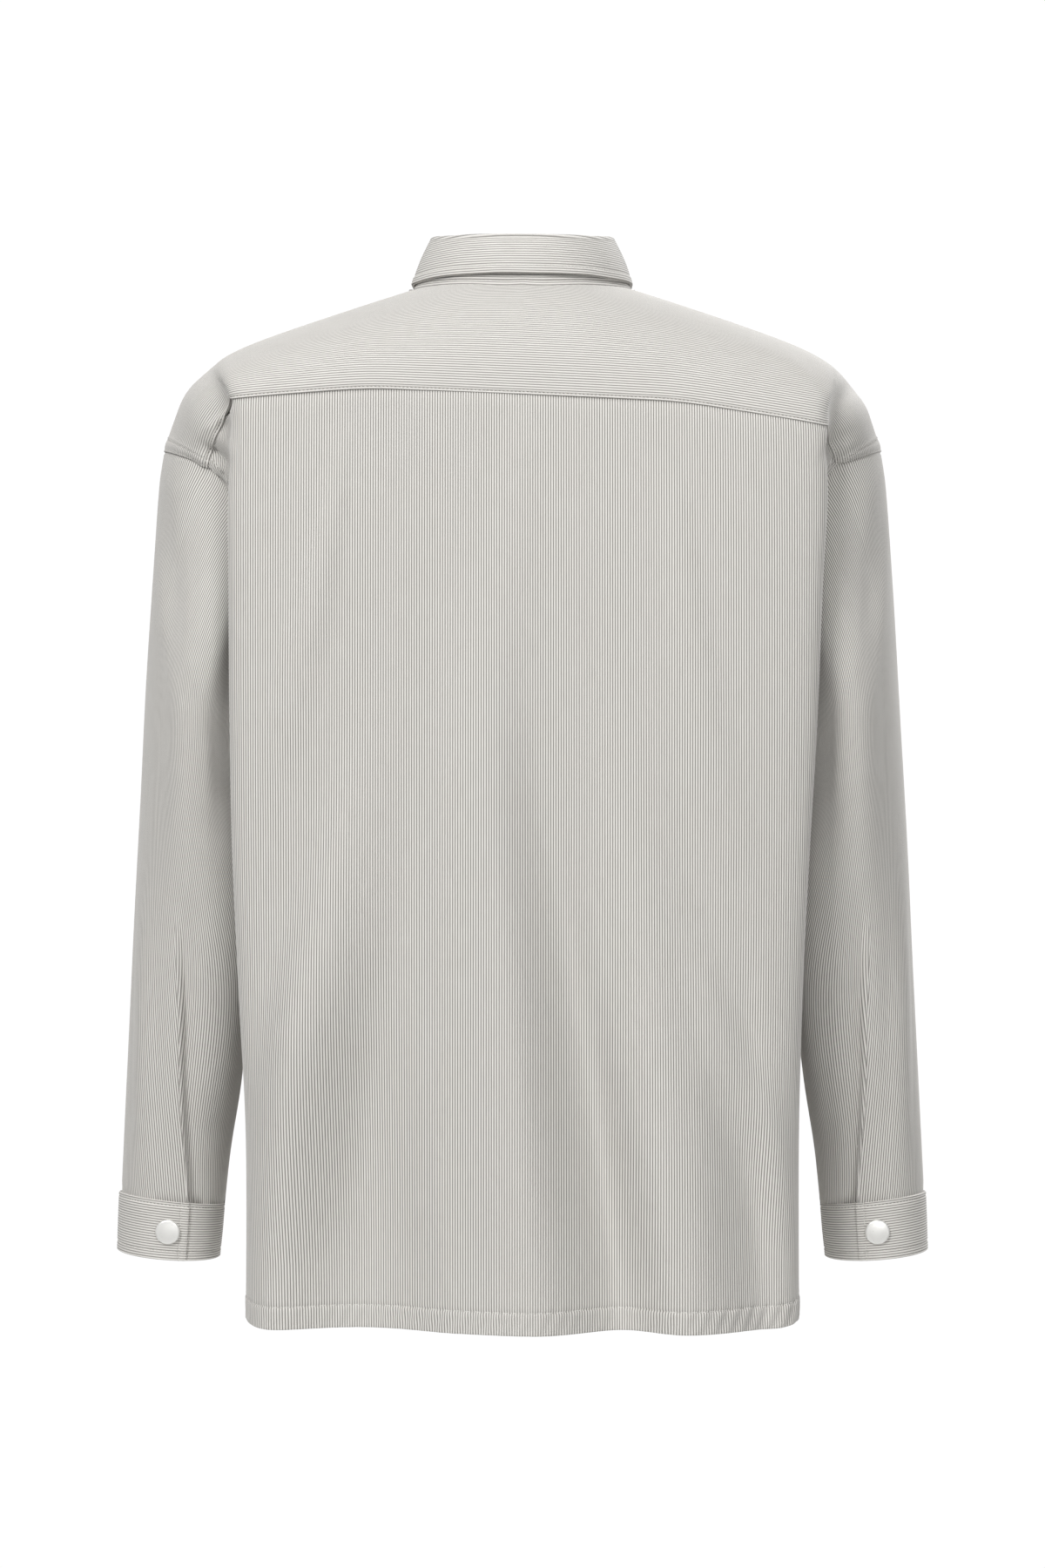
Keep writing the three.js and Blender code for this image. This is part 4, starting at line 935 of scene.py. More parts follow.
def makeSleeve(side):
    loopAt = armholeLoop()
    firstTotal, _ = ringAt(0)
    c = ribLines(-0.52 * firstTotal, 0.60 * firstTotal)
    alongs = (1 - np.linspace(0, 1, sleeve["rowCount"])) ** 1.15
    grid, shares, clamped = sleeveGrid(c, alongs, loopAt)
    grid[:, -1] = grid[:, 0]
    fade = smoothstep(alongs, 0.0, 0.1)[:, None]
    folds = sleeveFoldHeight(shares, grid[..., 2]) * fade
    uneven = coarseWobble(grid * np.array([side, 1, 1]), 70, 5.0 + side)
    uneven[:, -1] = uneven[:, 0]
    draped = grid + normalsOf(grid, True) * (folds + cloth["wobble"] * uneven * fade)[..., None]
    draped[:, -1] = draped[:, 0]
    normals = normalsOf(draped, True)
    seam = np.minimum(0.5 - np.abs(shares), 0.5) * firstTotal * 0.8
    rib = ribHeight(np.broadcast_to(c, shares.shape)) * ~clamped
    rib[:, 0] = rib[:, -1] = 0
    height = rib - edgeDrop(seam)
    outer = draped + normals * height[..., None]
    # the two ends of each row go under their neighbours: the cuff below, the body above
    outer[0] -= normals[0] * 0.6
    lastUp = outer[-1] - outer[-2]
    lastUp /= np.maximum(np.linalg.norm(lastUp, axis=1)[:, None], 1e-6)
    outer[-1] -= normals[-1] * 0.9
    tucked = outer[-1] + lastUp * 2.2 - normals[-1] * 0.9
    outer = np.concatenate([outer, tucked[None]])
    outer[:, -1] = outer[:, 0]
    span = np.linspace(-0.5, 0.5, 121) * firstTotal
    innerAlongs = np.linspace(1, 0, 48)
    innerGrid, innerShares, _ = sleeveGrid(span, innerAlongs, loopAt, plain=True)
    innerGrid[:, -1] = innerGrid[:, 0]
    innerFade = smoothstep(innerAlongs, 0.0, 0.1)[:, None]
    innerFolds = sleeveFoldHeight(innerShares, innerGrid[..., 2]) * innerFade
    inner = innerGrid + normalsOf(innerGrid, True) * (innerFolds - cloth["wall"])[..., None]
    inner[:, -1] = inner[:, 0]
    down = np.broadcast_to(((1 - alongs) * 540)[:, None], shares.shape)
    uv = np.stack([np.broadcast_to(c, shares.shape), down], axis=-1)
    uv = np.concatenate([uv, uv[-1:] + np.array([0, 2.2])])
    name = "sleeveLeft" if side > 0 else "sleeveRight"
    piece = clothWall(name, outer, uv, inner, closed=True, flip=side < 0)
    return piece, areaOf(grid), (firstTotal, 560)


# Cuffs: a doubled band that laps over its own end, fastened by a snap
cuff = {
    "top": {"outX": 294.4, "outZ": -650.3, "inX": 217.5, "inZ": -659.3, "midY": -43, "halfY": 39.5, "backFall": 0},
    "bottom": {"outX": 296.2, "outZ": -691, "inX": 220.6, "inZ": -697, "midY": -46, "halfY": 39.5, "backFall": 2.5},
    "edgeTurn": 112, "lap": 52, "thickness": 2.4, "rise": 1.2, "bottomStitch": 6.5, "topStitch": 1.6,
    "endStitch": 6.0,
}


def cuffPoint(ring, turn, lift):
    mix = (1 + np.cos(turn)) / 2
    return np.stack([
        lerp(ring["inX"], ring["outX"], mix) + lift * np.cos(turn),
        ring["midY"] + (ring["halfY"] + lift) * np.sin(turn),
        lerp(ring["inZ"], ring["outZ"], mix) - ring["backFall"] * np.sin(turn),
    ], axis=-1)


def makeCuff(side):
    start, end = cuff["edgeTurn"] - cuff["lap"], cuff["edgeTurn"] + 360
    length = math.radians(end - start) * 39
    height = 41.0
    down, up, tip = cuff["bottomStitch"], cuff["topStitch"], cuff["endStitch"]
    runs = np.unique(np.concatenate([
        plainLines(0, length, 2.6), [0.25, 0.7, 1.2, length - 0.25, length - 0.7, length - 1.2],
        [length - tip - 0.8, length - tip, length - tip + 0.8]]))
    rises = ribLines(0, height + cuff["rise"], extra=[down - 0.8, down, down + 0.8, height - up - 0.7,
                                                      height - up, height - up + 0.7])
    s = runs / length
    turn = np.radians(lerp(start, end, s))[None, :]
    lift = lerp(-cuff["thickness"] / 2 - 0.3, cuff["thickness"] / 2 + 0.3, s)[None, :]
    low = cuffPoint(cuff["bottom"], turn, lift)
    high = cuffPoint(cuff["top"], turn, lift)
    grid = low + (high - low) * (rises / height)[:, None, None]
    run = np.broadcast_to(runs[None, :], grid.shape[:2])
    rise = np.broadcast_to(rises[:, None], grid.shape[:2])
    flare = 0.5 * np.sin(run / 17.0) * (1 - smoothstep(rise, 0, 26))
    draped = grid + normalsOf(grid) * flare[..., None]
    normals = normalsOf(draped)
    depth = (ribHeight(rise) - edgeDrop(rise) - edgeDrop(height + cuff["rise"] - rise) - edgeDrop(run)
             - edgeDrop(length - run) + groove(rise - down, 0.7, 1.0) + groove(rise - height + up, 0.6, 0.9)
             + groove(length - run - tip, 0.7, 1.0))
    outer = draped + normals * depth[..., None]
    inner = fitInner(draped - normals * (cuff["thickness"] - 0.5), 6, 2)
    name = "cuffLeft" if side > 0 else "cuffRight"
    piece = clothWall(name, outer, np.stack([rise, run], axis=-1), inner, flip=side < 0)
    for level in (down, height - up):
        row = int(np.argmin(np.abs(rises - level)))
        shown = runs > length * (cuff["lap"] / (360 + cuff["lap"])) * 0.2
        sew(outer[row, shown], normals[row, shown], flip=side < 0)
    col = int(np.argmin(np.abs(runs - (length - tip))))
    sew(outer[2:-2, col], normals[2:-2, col], flip=side < 0)
    return piece, areaOf(grid), (length, height + cuff["rise"])


# Collar: a stand round the neck and a leaf that folds down over it
collar = {
    "past": 0.2, "rollRise": 2.4, "leafOut": 3.8, "leafWall": 1.8, "standWall": 2.2,
    "leafPointAcross": 0.3, "leafPointTurn": -0.98, "leafPointLift": 7,
    "leafStitch": 6.0, "standStitch": 3.0, "footLift": 0.9,
    "evenTurn": 0.36, "evenFrom": 0.3, "evenTo": 0.75,   # where the back of the stand runs level
}
standColumns = ("facing", "height", "narrow", "shallow")
standShape = [dict(zip(standColumns, row)) for row in (
    (-1, 27, 0.8, 0.86), (-0.45, 31, 0.8, 0.85), (0, 33, 0.8, 0.84), (0.7, 30.8, 0.8, 0.825),
    (1, 31.9, 0.8, 0.82),
)]
standShapeAt = columns(standShape, "facing")


def standPoint(angle, up, lift):
    point = neckPoint(angle)
    turns = np.linspace(-collar["evenTurn"], collar["evenTurn"], 13)
    even = np.mean([neckPoint(angle + turn)[..., 2] for turn in turns], axis=0)
    share = (1 - smoothstep(np.abs(angle), collar["evenFrom"], collar["evenTo"])) * smoothstep(up, 0, 0.24)
    point[..., 2] = lerp(point[..., 2], even, share)
    shape = standShapeAt(np.cos(angle))
    lean = np.maximum(up, 0) ** 1.2
    out = np.stack([np.sin(angle), np.cos(angle), 0 * angle], axis=-1)
    moved = np.stack([point[..., 0] * lerp(1, shape["narrow"], lean), point[..., 1] * lerp(1, shape["shallow"], lean),
                      point[..., 2] + shape["height"] * up], axis=-1)
    return moved + out * np.asarray(lift)[..., None]


def makeStand():
    limit = math.pi + collar["past"]
    ends = np.array([0.0, 0.004, 0.012])
    angles = np.unique(np.concatenate([np.linspace(-limit, limit, 190), -limit + ends, limit - ends]))[::-1]
    heights = ribLines(-0.8, 32.5, extra=[collar["standStitch"] - 0.8, collar["standStitch"],
                                          collar["standStitch"] + 0.8])
    up = heights[:, None] / 33 * np.ones((1, len(angles)))
    turn = angles[None, :] * np.ones((len(heights), 1))
    lift = np.sign(turn) * body["lapStep"] * 1.25 * smoothstep(np.abs(turn), 0.55 * math.pi, math.pi)
    rise = heights[:, None] * np.ones((1, len(angles)))
    grid = standPoint(turn, up, lift + 0.3 + collar["footLift"] * (1 - smoothstep(rise, 4, 12)))
    normals = normalsOf(grid)
    fromEnd = (limit - np.abs(turn)) * 77
    depth = ribHeight(rise) + groove(rise - collar["standStitch"], 0.8, 1.0) - edgeDrop(fromEnd) \
        - edgeDrop(32.5 - rise) - edgeDrop(rise - heights[0])
    outer = grid + normals * depth[..., None]
    inner = fitInner(grid - normals * collar["standWall"], 5, 2)
    run = turn * 77
    piece = clothWall("collarStand", outer, np.stack([rise, run], axis=-1), inner)
    row = int(np.argmin(np.abs(heights - collar["standStitch"])))
    sew(outer[row, 3:-3], normals[row, 3:-3])
    return piece, areaOf(grid), (2 * limit * 77, 33.3)


def leafEdge(angle):
    size = np.sin(angle) ** 2
    held = standPoint(angle, lerp(0.24, 0.1, size), lerp(3.2, 1.6, size))
    forward = smoothstep(np.abs(angle), 0.42 * math.pi, 0.97 * math.pi)
    across = lerp(neckAcross * 1.02, collar["leafPointAcross"], forward)
    turn = lerp(-0.2, collar["leafPointTurn"], forward)
    lying = shoulder(across, turn, 1)
    near = shoulder(across + 0.01, turn, 1)
    below = shoulder(across, turn - 0.01, 1)
    normal = np.cross(near - lying, lying - below)
    normal /= np.linalg.norm(normal, axis=-1, keepdims=True)
    lying = lying + normal * collar["leafPointLift"]
    lying[..., 0] *= np.where(angle >= 0, 1, -1)
    mix = smoothstep(np.abs(angle), 0.48 * math.pi, 0.8 * math.pi)[..., None]
    return held * (1 - mix) + lying * mix


def makeLeaf():
    limit = math.pi - 0.05
    ends = np.array([0.0, 0.004, 0.012, 0.02])
    angles = np.unique(np.concatenate([np.linspace(-limit, limit, 200), -limit + ends, limit - ends]))[::-1]
    seat = standPoint(angles, np.ones(len(angles)), np.zeros(len(angles)))
    out = np.stack([np.sin(angles), np.cos(angles), 0 * angles], axis=-1)
    lifted = np.array([0, 0, 1.0])
    path = [seat + lifted * 0.5]
    for turn in np.linspace(0, math.pi, 17):
        path.append(seat + out * collar["leafOut"] / 2 * (1 - math.cos(turn))
                    + lifted * (collar["rollRise"] + collar["leafOut"] / 2 * math.sin(turn) - 1))
    start = seat + out * collar["leafOut"] + lifted * (collar["rollRise"] - 1)
    end = leafEdge(angles)
    for t in np.linspace(0, 1, 33)[1:]:
        path.append(start + (end - start) * t + out * 1.2 * math.sin(math.pi * t))
    path = np.array(path)[::-1]
    steps = np.linalg.norm(np.diff(path, axis=0), axis=-1)
    runs = np.concatenate([np.zeros((1, len(angles))), np.cumsum(steps, axis=0)])
    stitch = collar["leafStitch"]
    lines = ribLines(0, runs[-1].max(), extra=[stitch - 0.8, stitch, stitch + 0.8, stitch + 1.6])
    grid = np.stack([np.stack([np.interp(np.minimum(lines, runs[-1, i]), runs[:, i], path[:, i, k])
                               for k in range(3)], axis=-1) for i in range(len(angles))], axis=1)
    run = np.minimum(lines[:, None], runs[-1][None, :])
    fromEnd = (limit - np.abs(angles))[None, :] * 77 * np.ones((len(lines), 1))
    normals = normalsOf(grid)
    live = run < runs[-1][None, :]
    uneven = 0.35 * np.sin(angles * 9.0)[None, :] * (1 - smoothstep(run, 0, 14))
    border = 0.5 * (1 - smoothstep(run, stitch - 0.4, stitch + 1.4))
    depth = (collar["leafWall"] + ribHeight(run) * live + border + groove(run - stitch, 0.9, 1.1)
             - edgeDrop(run) - edgeDrop(fromEnd) + uneven)
    outer = grid + normals * depth[..., None]
    inner = fitInner(grid + normals * (0.25 + uneven)[..., None], 4, 2)
    across = np.broadcast_to((angles * 80)[None, :], run.shape)
    piece = clothWall("collarLeaf", outer, np.stack([run, across], axis=-1), inner)
    row = int(np.argmin(np.abs(lines - stitch)))
    sew(outer[row, 6:-6], normals[row, 6:-6])
    return piece, areaOf(grid), (2 * limit * 80, float(runs[-1].max()))


# Snap caps: each one sits where its packed cap does, a little into the cloth
snap = {"radius": 9.0, "segments": 44, "sink": 0.9}
snapProfile = [  # share of the radius, height above the cap's foot
    (0.9, -0.9), (0.95, -0.2), (0.985, 0.35), (1.0, 0.85), (0.99, 1.35), (0.955, 1.8), (0.90, 2.08),
    (0.85, 2.16), (0.79, 2.18), (0.6, 2.42), (0.4, 2.58), (0.2, 2.66),
]


def snapFrame(node):
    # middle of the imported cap's foot and its axis, read from its mesh
    points = np.array([v.co for v in node.data.vertices]) / toMetres
    middle = points.mean(axis=0)
    _, _, axes = np.linalg.svd(points - middle, full_matrices=False)
    axis = axes[2]
    heights = (points - middle) @ axis
    spread = np.linalg.norm(points - middle - heights[:, None] * axis, axis=1)
    lowRing = spread[heights < heights.min() + 0.2].max()
    highRing = spread[heights > heights.max() - 0.15].max()
    if highRing > lowRing:
        axis, heights = -axis, -heights
    return middle + axis * heights.min(), axis


def makeSnap(name, node):
    foot, axis = snapFrame(node)
    turn = Vector(axis).to_track_quat("Z", "Y").to_matrix()
    angles = np.linspace(0, 2 * math.pi, snap["segments"], endpoint=False)
    points, faces = [Vector((0, 0, 2.68)), Vector((0, 0, -snap["sink"]))], []
    for share, height in snapProfile:
        for angle in angles:
            r = share * snap["radius"]
            points.append(Vector((r * math.cos(angle), r * math.sin(angle), height)))
    n = snap["segments"]
    last = 2 + n * (len(snapProfile) - 1)
    for k in range(n):
        nextK = (k + 1) % n
        faces.append((1, 2 + nextK, 2 + k))
        faces.append((0, last + k, last + nextK))
        for ring in range(len(snapProfile) - 1):
            low = 2 + ring * n
            faces.append((low + k, low + nextK, low + n + nextK, low + n + k))
    mesh = bpy.data.meshes.new(name)
    mesh.from_pydata([((turn @ p) + Vector(foot)) * toMetres for p in points], [], faces)
    mesh.shade_smooth()
    piece = bpy.data.objects.new(name, mesh)
    bpy.context.scene.collection.objects.link(piece)
    return piece


# Stitches: Geometry Nodes lay one small thread after another along every sewing line
stitch = {"pitch": 2.8, "length": 2.0, "width": 0.6, "height": 0.5, "seed": 7}


def stitchTree(material):
    tree = bpy.data.node_groups.new("seamStitches", "GeometryNodeTree")
    face = tree.interface
    face.new_socket("Geometry", in_out="INPUT", socket_type="NodeSocketGeometry")
    for name, value in (("Pitch", 0.0029), ("Length", 0.0022), ("Width", 0.0005), ("Height", 0.0004)):
        face.new_socket(name, in_out="INPUT", socket_type="NodeSocketFloat").default_value = value
    face.new_socket("Seed", in_out="INPUT", socket_type="NodeSocketInt").default_value = stitch["seed"]
    face.new_socket("Geometry", in_out="OUTPUT", socket_type="NodeSocketGeometry")
    nodes, links = tree.nodes, tree.links
    start, finish = nodes.new("NodeGroupInput"), nodes.new("NodeGroupOutput")
    toCurve = nodes.new("GeometryNodeMeshToCurve")
    evenly = nodes.new("GeometryNodeResampleCurve")
    evenly.mode = "LENGTH"
    thread = nodes.new("GeometryNodeMeshUVSphere")
    thread.inputs["Segments"].default_value = 6
    thread.inputs["Rings"].default_value = 4
    thread.inputs["Radius"].default_value = 0.5
    size = nodes.new("ShaderNodeCombineXYZ")
    scaled = nodes.new("GeometryNodeTransform")
    upward = nodes.new("GeometryNodeInputNamedAttribute")
    upward.data_type = "FLOAT_VECTOR"
    upward.inputs["Name"].default_value = "upward"
    stand = nodes.new("FunctionNodeAlignRotationToVector")
    stand.axis = "Z"
    tangent = nodes.new("GeometryNodeInputTangent")
    lie = nodes.new("FunctionNodeAlignRotationToVector")
    lie.axis = "X"
    lie.pivot_axis = "Z"
    jitter = nodes.new("FunctionNodeRandomValue")
    jitter.data_type = "FLOAT"
    jitter.inputs[2].default_value = 0.9
    jitter.inputs[3].default_value = 1.08
    copies = nodes.new("GeometryNodeInstanceOnPoints")
    whole = nodes.new("GeometryNodeRealizeInstances")
    finish_ = nodes.new("GeometryNodeSetMaterial")
    finish_.inputs["Material"].default_value = material
    links.new(start.outputs["Geometry"], toCurve.inputs[0])
    links.new(toCurve.outputs[0], evenly.inputs["Curve"])
    links.new(start.outputs["Pitch"], evenly.inputs["Length"])
    for axis, name in (("X", "Length"), ("Y", "Width"), ("Z", "Height")):
        links.new(start.outputs[name], size.inputs[axis])
    links.new(thread.outputs["Mesh"], scaled.inputs["Geometry"])
    links.new(size.outputs[0], scaled.inputs["Scale"])
    links.new(evenly.outputs["Curve"], copies.inputs["Points"])
    links.new(scaled.outputs[0], copies.inputs["Instance"])
    links.new(upward.outputs[0], stand.inputs["Vector"])
    links.new(stand.outputs[0], lie.inputs["Rotation"])
    links.new(tangent.outputs[0], lie.inputs["Vector"])
    links.new(lie.outputs[0], copies.inputs["Rotation"])
    links.new(start.outputs["Seed"], jitter.inputs["Seed"])
    links.new(jitter.outputs[1], copies.inputs["Scale"])
    links.new(copies.outputs[0], whole.inputs[0])
    links.new(whole.outputs[0], finish_.inputs["Geometry"])
    links.new(finish_.outputs[0], finish.inputs[0])
    return tree


def makeStitches(material):
    points, edges, ups = [], [], []
    for path, up in seams:
        first = len(points)
        points.extend(path.tolist())
        ups.extend(up.tolist())
        edges.extend((first + k, first + k + 1) for k in range(len(path) - 1))
    guide = bpy.data.meshes.new("sewingLines")
    guide.from_pydata(points, edges, [])
    attribute = guide.attributes.new("upward", "FLOAT_VECTOR", "POINT")
    attribute.data.foreach_set("vector", np.array(ups, np.float32).ravel())
    source = bpy.data.objects.new("sewingLines", guide)
    bpy.context.scene.collection.objects.link(source)
    tree = stitchTree(material)
    modifier = source.modifiers.new("stitches", "NODES")
    modifier.node_group = tree
    sizes = {"Pitch": stitch["pitch"], "Length": stitch["length"], "Width": stitch["width"],
             "Height": stitch["height"]}
    for item in tree.interface.items_tree:
        if item.in_out == "INPUT" and item.name in sizes:
            modifier[item.identifier] = sizes[item.name] * toMetres
    evaluated = source.evaluated_get(bpy.context.evaluated_depsgraph_get())
    mesh = bpy.data.meshes.new_from_object(evaluated)
    source.modifiers.remove(modifier)
    bpy.data.objects.remove(source)
    mesh.name = "seamStitches"
    mesh.shade_smooth()
    piece = bpy.data.objects.new("seamStitches", mesh)
    bpy.context.scene.collection.objects.link(piece)
    return piece


# Materials
# The cloth's colours. The dark groove colour is painted shade, laid into the grooves between ribs on top of their real
# relief. Its share on each kind of piece sets how strong that painted shade is.
clothLook = {
    "crest": (0.70, 0.685, 0.655), "valley": (0.15, 0.143, 0.13), "warm": (0.68, 0.655, 0.62),
    "roughness": 0.9, "sheen": 0.25,
    "valleyShare": {"down": 0.92, "across": 0.84},   # how dark the grooves look on each kind of piece
}
snapLook = {"colour": (0.80, 0.795, 0.77), "roughness": 0.3}
threadLook = {"colour": (0.66, 0.645, 0.61)}


def newMaterial(name):
    material = bpy.data.materials.new(name)
    material.use_nodes = True
    nodes = material.node_tree.nodes
    nodes.clear()
    shader = nodes.new("ShaderNodeBsdfPrincipled")
    output = nodes.new("ShaderNodeOutputMaterial")
    material.node_tree.links.new(shader.outputs[0], output.inputs[0])
    return material, nodes, material.node_tree.links, shader


def mathNode(nodes, links, operation, first, second=None, third=None):
    node = nodes.new("ShaderNodeMath")
    node.operation = operation
    for k, value in enumerate((first, second, third)):
        if value is None:
            continue
        if isinstance(value, (int, float)):
            node.inputs[k].default_value = value
        else:
            links.new(value, node.inputs[k])
    return node.outputs[0]


def noiseNode(nodes, links, vector, scale, detail=2.0):
    node = nodes.new("ShaderNodeTexNoise")
    node.inputs["Scale"].default_value = scale
    node.inputs["Detail"].default_value = detail
    links.new(vector, node.inputs["Vector"])
    return node.outputs[0]


def mixColour(nodes, links, factor, first, second):
    node = nodes.new("ShaderNodeMix")
    node.data_type = "RGBA"
    links.new(factor, node.inputs[0])
    for socket, value in ((node.inputs[6], first), (node.inputs[7], second)):
        if isinstance(value, tuple):
            socket.default_value = (*value, 1)
        else:
            links.new(value, socket)
    return node.outputs[2]


def makeCloth(name, way):
    material, nodes, links, shader = newMaterial(name)
    place = nodes.new("ShaderNodeTexCoord")
    cut = nodes.new("ShaderNodeUVMap")
    cut.uv_map = "clothMap"
    split = nodes.new("ShaderNodeSeparateXYZ")
    links.new(cut.outputs[0], split.inputs[0])
    pitch = cloth["ribPitch"] * toMetres
    # painted shade between two ribs: 1 in the groove, 0 on the rib
    phase = mathNode(nodes, links, "MULTIPLY", split.outputs[0], math.pi / pitch)
    wave = mathNode(nodes, links, "ABSOLUTE", mathNode(nodes, links, "COSINE", phase))
    valley = mathNode(nodes, links, "POWER", wave, 3.2)
    # threads across each rib, the slubs along it and the soft unevenness of washed cotton
    thread = mathNode(nodes, links, "SINE", mathNode(nodes, links, "MULTIPLY", split.outputs[1], 2 * math.pi / 0.00075))
    stretched = nodes.new("ShaderNodeMapping")
    stretched.inputs["Scale"].default_value = (1 / pitch, 60.0, 1.0)
    links.new(cut.outputs[0], stretched.inputs["Vector"])
    slub = noiseNode(nodes, links, stretched.outputs[0], 1.0, 3.0)
    mottle = noiseNode(nodes, links, place.outputs["Object"], 42.0, 3.0)
    fuzz = noiseNode(nodes, links, place.outputs["Object"], 1500.0, 2.0)
    base = mixColour(nodes, links, mathNode(nodes, links, "MULTIPLY", mottle, 0.75), clothLook["crest"],
                     clothLook["warm"])
    # painted shade: the base colour is darkened towards the dark groove colour in every groove between ribs
    dark = mathNode(nodes, links, "MULTIPLY", valley, clothLook["valleyShare"][way])
    withPaintedGrooveShade = mixColour(nodes, links, dark, base, clothLook["valley"])
    tone = mathNode(nodes, links, "ADD", mathNode(nodes, links, "MULTIPLY", slub, 0.14),
                    mathNode(nodes, links, "MULTIPLY", fuzz, 0.04))
    tone = mathNode(nodes, links, "ADD", tone, 0.91)
    tone = mathNode(nodes, links, "ADD", tone, mathNode(nodes, links, "MULTIPLY", thread, 0.008))
    shade = nodes.new("ShaderNodeMix")
    shade.data_type = "RGBA"
    shade.blend_type = "MULTIPLY"
    shade.inputs[0].default_value = 1.0
    grey = nodes.new("ShaderNodeCombineColor")
    for k in range(3):
        links.new(tone, grey.inputs[k])
    links.new(withPaintedGrooveShade, shade.inputs[6])
    links.new(grey.outputs[0], shade.inputs[7])
    links.new(shade.outputs[2], shader.inputs["Base Color"])
    rough = mathNode(nodes, links, "ADD", mathNode(nodes, links, "MULTIPLY", fuzz, 0.12), clothLook["roughness"] - 0.06)
    links.new(rough, shader.inputs["Roughness"])
    relief = mathNode(nodes, links, "ADD", mathNode(nodes, links, "MULTIPLY", thread, 0.08),
                      mathNode(nodes, links, "MULTIPLY", fuzz, 0.3))
    bump = nodes.new("ShaderNodeBump")
    bump.inputs["Strength"].default_value = 0.2
    bump.inputs["Distance"].default_value = 0.0001
    links.new(relief, bump.inputs["Height"])
    links.new(bump.outputs[0], shader.inputs["Normal"])
    shader.inputs["Sheen Weight"].default_value = clothLook["sheen"]
    shader.inputs["Sheen Roughness"].default_value = 0.5
    shader.inputs["Specular IOR Level"].default_value = 0.25
    return material


def makeThread():
    material, nodes, links, shader = newMaterial("seamThread")
    place = nodes.new("ShaderNodeTexCoord")
    twist = noiseNode(nodes, links, place.outputs["Object"], 2200.0, 1.0)
    colour = mixColour(nodes, links, twist, threadLook["colour"], tuple(0.86 * v for v in threadLook["colour"]))
    links.new(colour, shader.inputs["Base Color"])
    shader.inputs["Roughness"].default_value = 0.8
    return material


def makeCapFinish():
    material, nodes, links, shader = newMaterial("satinCap")
    place = nodes.new("ShaderNodeTexCoord")
    grain = noiseNode(nodes, links, place.outputs["Object"], 900.0, 3.0)
    wear = noiseNode(nodes, links, place.outputs["Object"], 160.0, 2.0)
    colour = mixColour(nodes, links, wear, snapLook["colour"], tuple(0.94 * v for v in snapLook["colour"]))
    links.new(colour, shader.inputs["Base Color"])
    rough = mathNode(nodes, links, "ADD", mathNode(nodes, links, "MULTIPLY", grain, 0.12), snapLook["roughness"] - 0.06)
    links.new(rough, shader.inputs["Roughness"])
    bump = nodes.new("ShaderNodeBump")
    bump.inputs["Strength"].default_value = 0.06
    bump.inputs["Distance"].default_value = 0.0001
    links.new(grain, bump.inputs["Height"])
    links.new(bump.outputs[0], shader.inputs["Normal"])
    shader.inputs["Metallic"].default_value = 0.35
    return material


def dress(piece, material):
    piece.data.materials.clear()
    piece.data.materials.append(material)


# Make every piece, and hide the imported node it stands for
# the two cloth materials are one cloth with its painted groove shade at two strengths: one for pieces whose ribs run
# down, one for pieces whose ribs run across
clothMaterials = {"down": makeCloth("ribbedCottonDown", "down"), "across": makeCloth("ribbedCottonAcross", "across")}
threadMaterial = makeThread()
capMaterial = makeCapFinish()


def place(made, node, restsOn=(), withPieces=(), way="down"):
    piece, area, (width, length) = made
    dress(piece, clothMaterials[way])
    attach(piece, "root")
    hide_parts(node)
    width, length = width * toMetres, length * toMetres
    print("stage:", piece.name, len(piece.data.polygons), "faces, cut area", round(area, 4))
    return piece


place(makeBack(), "back", ["yoke"])
place(makeYoke(), "yoke", way="across")
place(makeFront(1), "front_left", ["yoke"])
place(makeFront(-1), "front_right", ["yoke"])
place(makeBand(), "front_band", ["front_left"])
for side, name in ((1, "left"), (-1, "right")):
    place(makeSleeve(side), "sleeve_" + name, ["yoke"])
    place(makeCuff(side), "cuff_" + name, ["sleeve_" + name], way="across")
place(makeStand(), "collar_stand", ["yoke"], way="across")
place(makeLeaf(), "collar_leaf", ["collar_stand"], way="across")

for node in sorted(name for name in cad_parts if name.startswith("snap_")):
    cap = makeSnap("cap" + "".join(word.title() for word in node.split("_")[1:]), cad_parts[node])
    dress(cap, capMaterial)
    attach(cap, "root")
    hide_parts(node)
print("stage: snap caps made")

stitches = makeStitches(threadMaterial)
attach(stitches, "root")
print("stage: stitches made,", len(stitches.data.polygons), "faces")

# Floor and studio light
studio = {
    "floorLevel": -1.6, "floorRadius": 1.6,
    "ambientHigh": 0.38, "ambientLow": 0.16,   # the room's own light, from above and from below
    "backdrop": 1.02, "cardFrom": 0.955, "cardTo": 0.98,
    "key": {"place": (2.3, 5.0, 3.3), "size": 1.7, "power": 242},
    "fill": {"place": (-1.2, 4.6, 0.1), "size": 1.6, "power": 52},
    "top": {"place": (0.1, 1.3, 1.5), "size": 1.2, "power": 15},
    "front": {"place": (-3.2, -3.8, 1.6), "size": 2.2, "power": 190},
    "frontFill": {"place": (3.0, -2.6, 0.4), "size": 2.0, "power": 26},
}


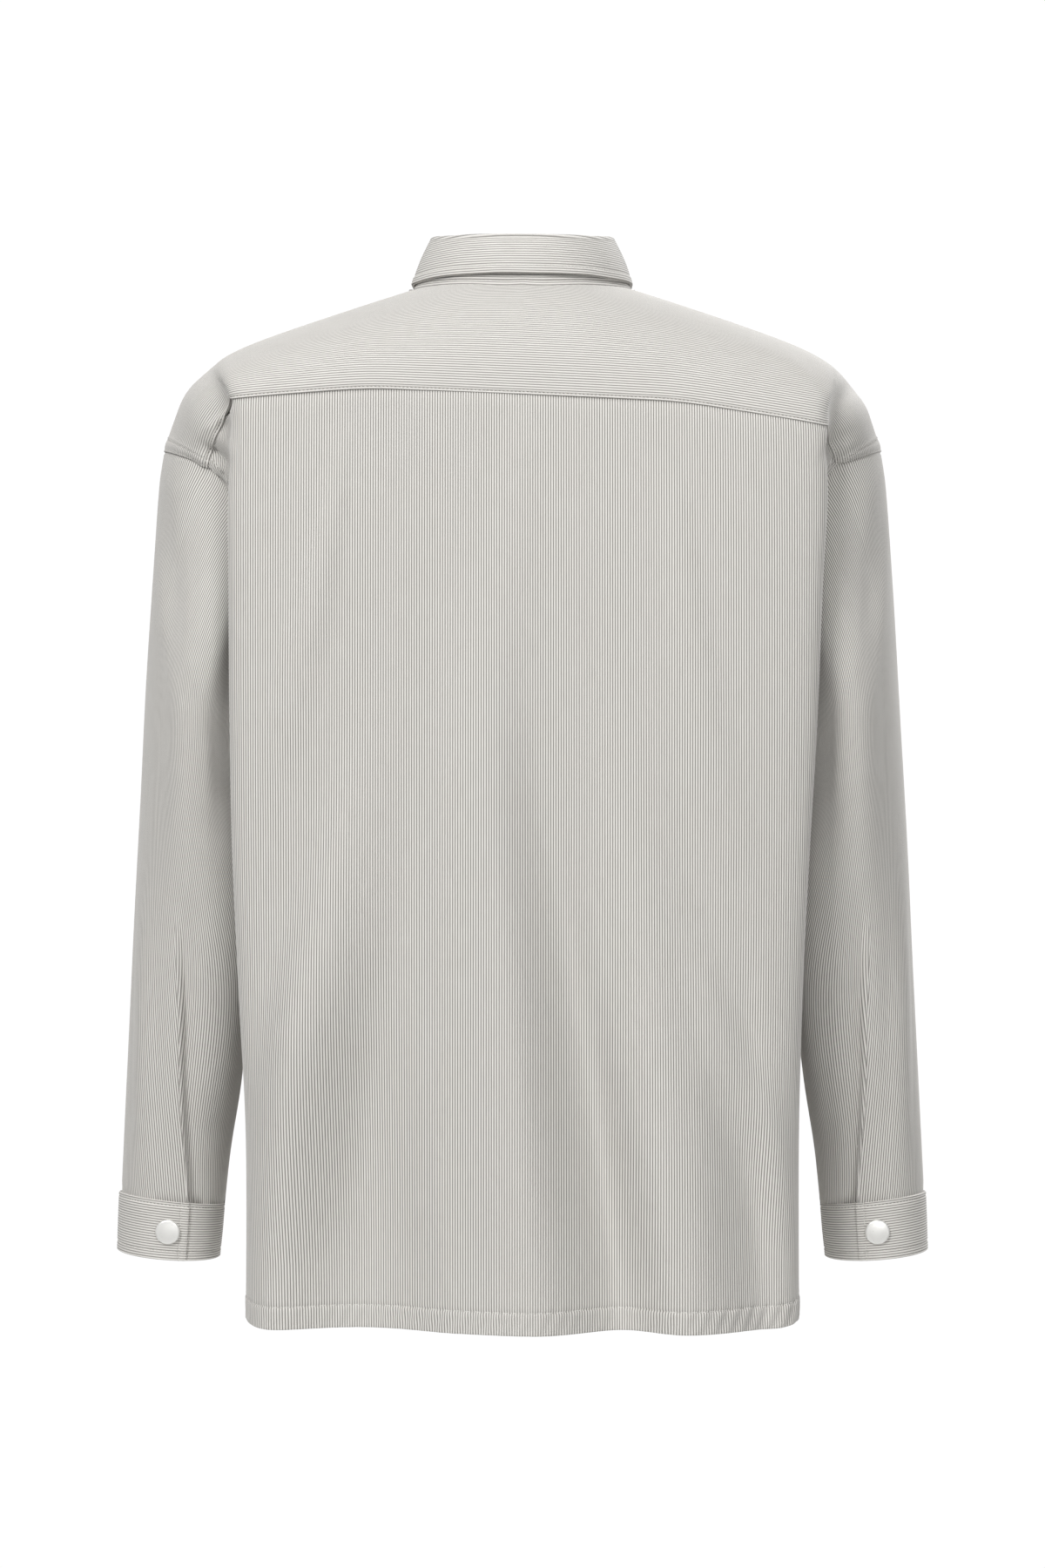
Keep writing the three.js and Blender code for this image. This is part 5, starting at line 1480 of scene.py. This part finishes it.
def makeFloor():
    count = 96
    ring = [(studio["floorRadius"] * math.cos(2 * math.pi * k / count),
             studio["floorRadius"] * math.sin(2 * math.pi * k / count), studio["floorLevel"]) for k in range(count)]
    mesh = bpy.data.meshes.new("paleFloor")
    mesh.from_pydata(ring, [], [tuple(range(count))])
    floor = bpy.data.objects.new("paleFloor", mesh)
    bpy.context.scene.collection.objects.link(floor)
    material, nodes, links, shader = newMaterial("palePlaster")
    place_ = nodes.new("ShaderNodeTexCoord")
    tone = noiseNode(nodes, links, place_.outputs["Object"], 6.0, 2.0)
    links.new(mixColour(nodes, links, tone, (0.84, 0.84, 0.83), (0.80, 0.80, 0.79)), shader.inputs["Base Color"])
    shader.inputs["Roughness"].default_value = 0.95
    dress(floor, material)


def makeLight(name, spec):
    data = bpy.data.lights.new(name, "AREA")
    data.size = spec["size"]
    data.energy = spec["power"]
    light = bpy.data.objects.new(name, data)
    light.location = spec["place"]
    aim = Vector((0, 0, -0.35)) - Vector(spec["place"])
    light.rotation_euler = aim.to_track_quat("-Z", "Y").to_euler()
    bpy.context.scene.collection.objects.link(light)


def makeWorld():
    # an even room, with a brighter card behind the garment and one in front of it
    world = bpy.data.worlds.new("softRoom")
    world.use_nodes = True
    nodes, links = world.node_tree.nodes, world.node_tree.links
    background = nodes["Background"]
    direction = nodes.new("ShaderNodeTexCoord")
    split = nodes.new("ShaderNodeSeparateXYZ")
    links.new(direction.outputs["Generated"], split.inputs[0])
    facing = mathNode(nodes, links, "ABSOLUTE", split.outputs[1])
    card = nodes.new("ShaderNodeMapRange")
    card.interpolation_type = "SMOOTHSTEP"
    links.new(facing, card.inputs["Value"])
    card.inputs["From Min"].default_value = studio["cardFrom"]
    card.inputs["From Max"].default_value = studio["cardTo"]
    upward = nodes.new("ShaderNodeMapRange")
    links.new(split.outputs[2], upward.inputs["Value"])
    upward.inputs["From Min"].default_value = -1.0
    upward.inputs["To Min"].default_value = studio["ambientLow"]
    upward.inputs["To Max"].default_value = studio["ambientHigh"]
    links.new(upward.outputs[0], card.inputs["To Min"])
    card.inputs["To Max"].default_value = studio["backdrop"]
    links.new(card.outputs[0], background.inputs[1])
    background.inputs[0].default_value = (1, 1, 1, 1)
    bpy.context.scene.world = world
    bpy.context.scene.view_settings.view_transform = "Standard"


makeFloor()
makeWorld()
for name in ("key", "fill", "top", "front", "frontFill"):
    makeLight(name + "Light", studio[name])
print("stage: floor and light")
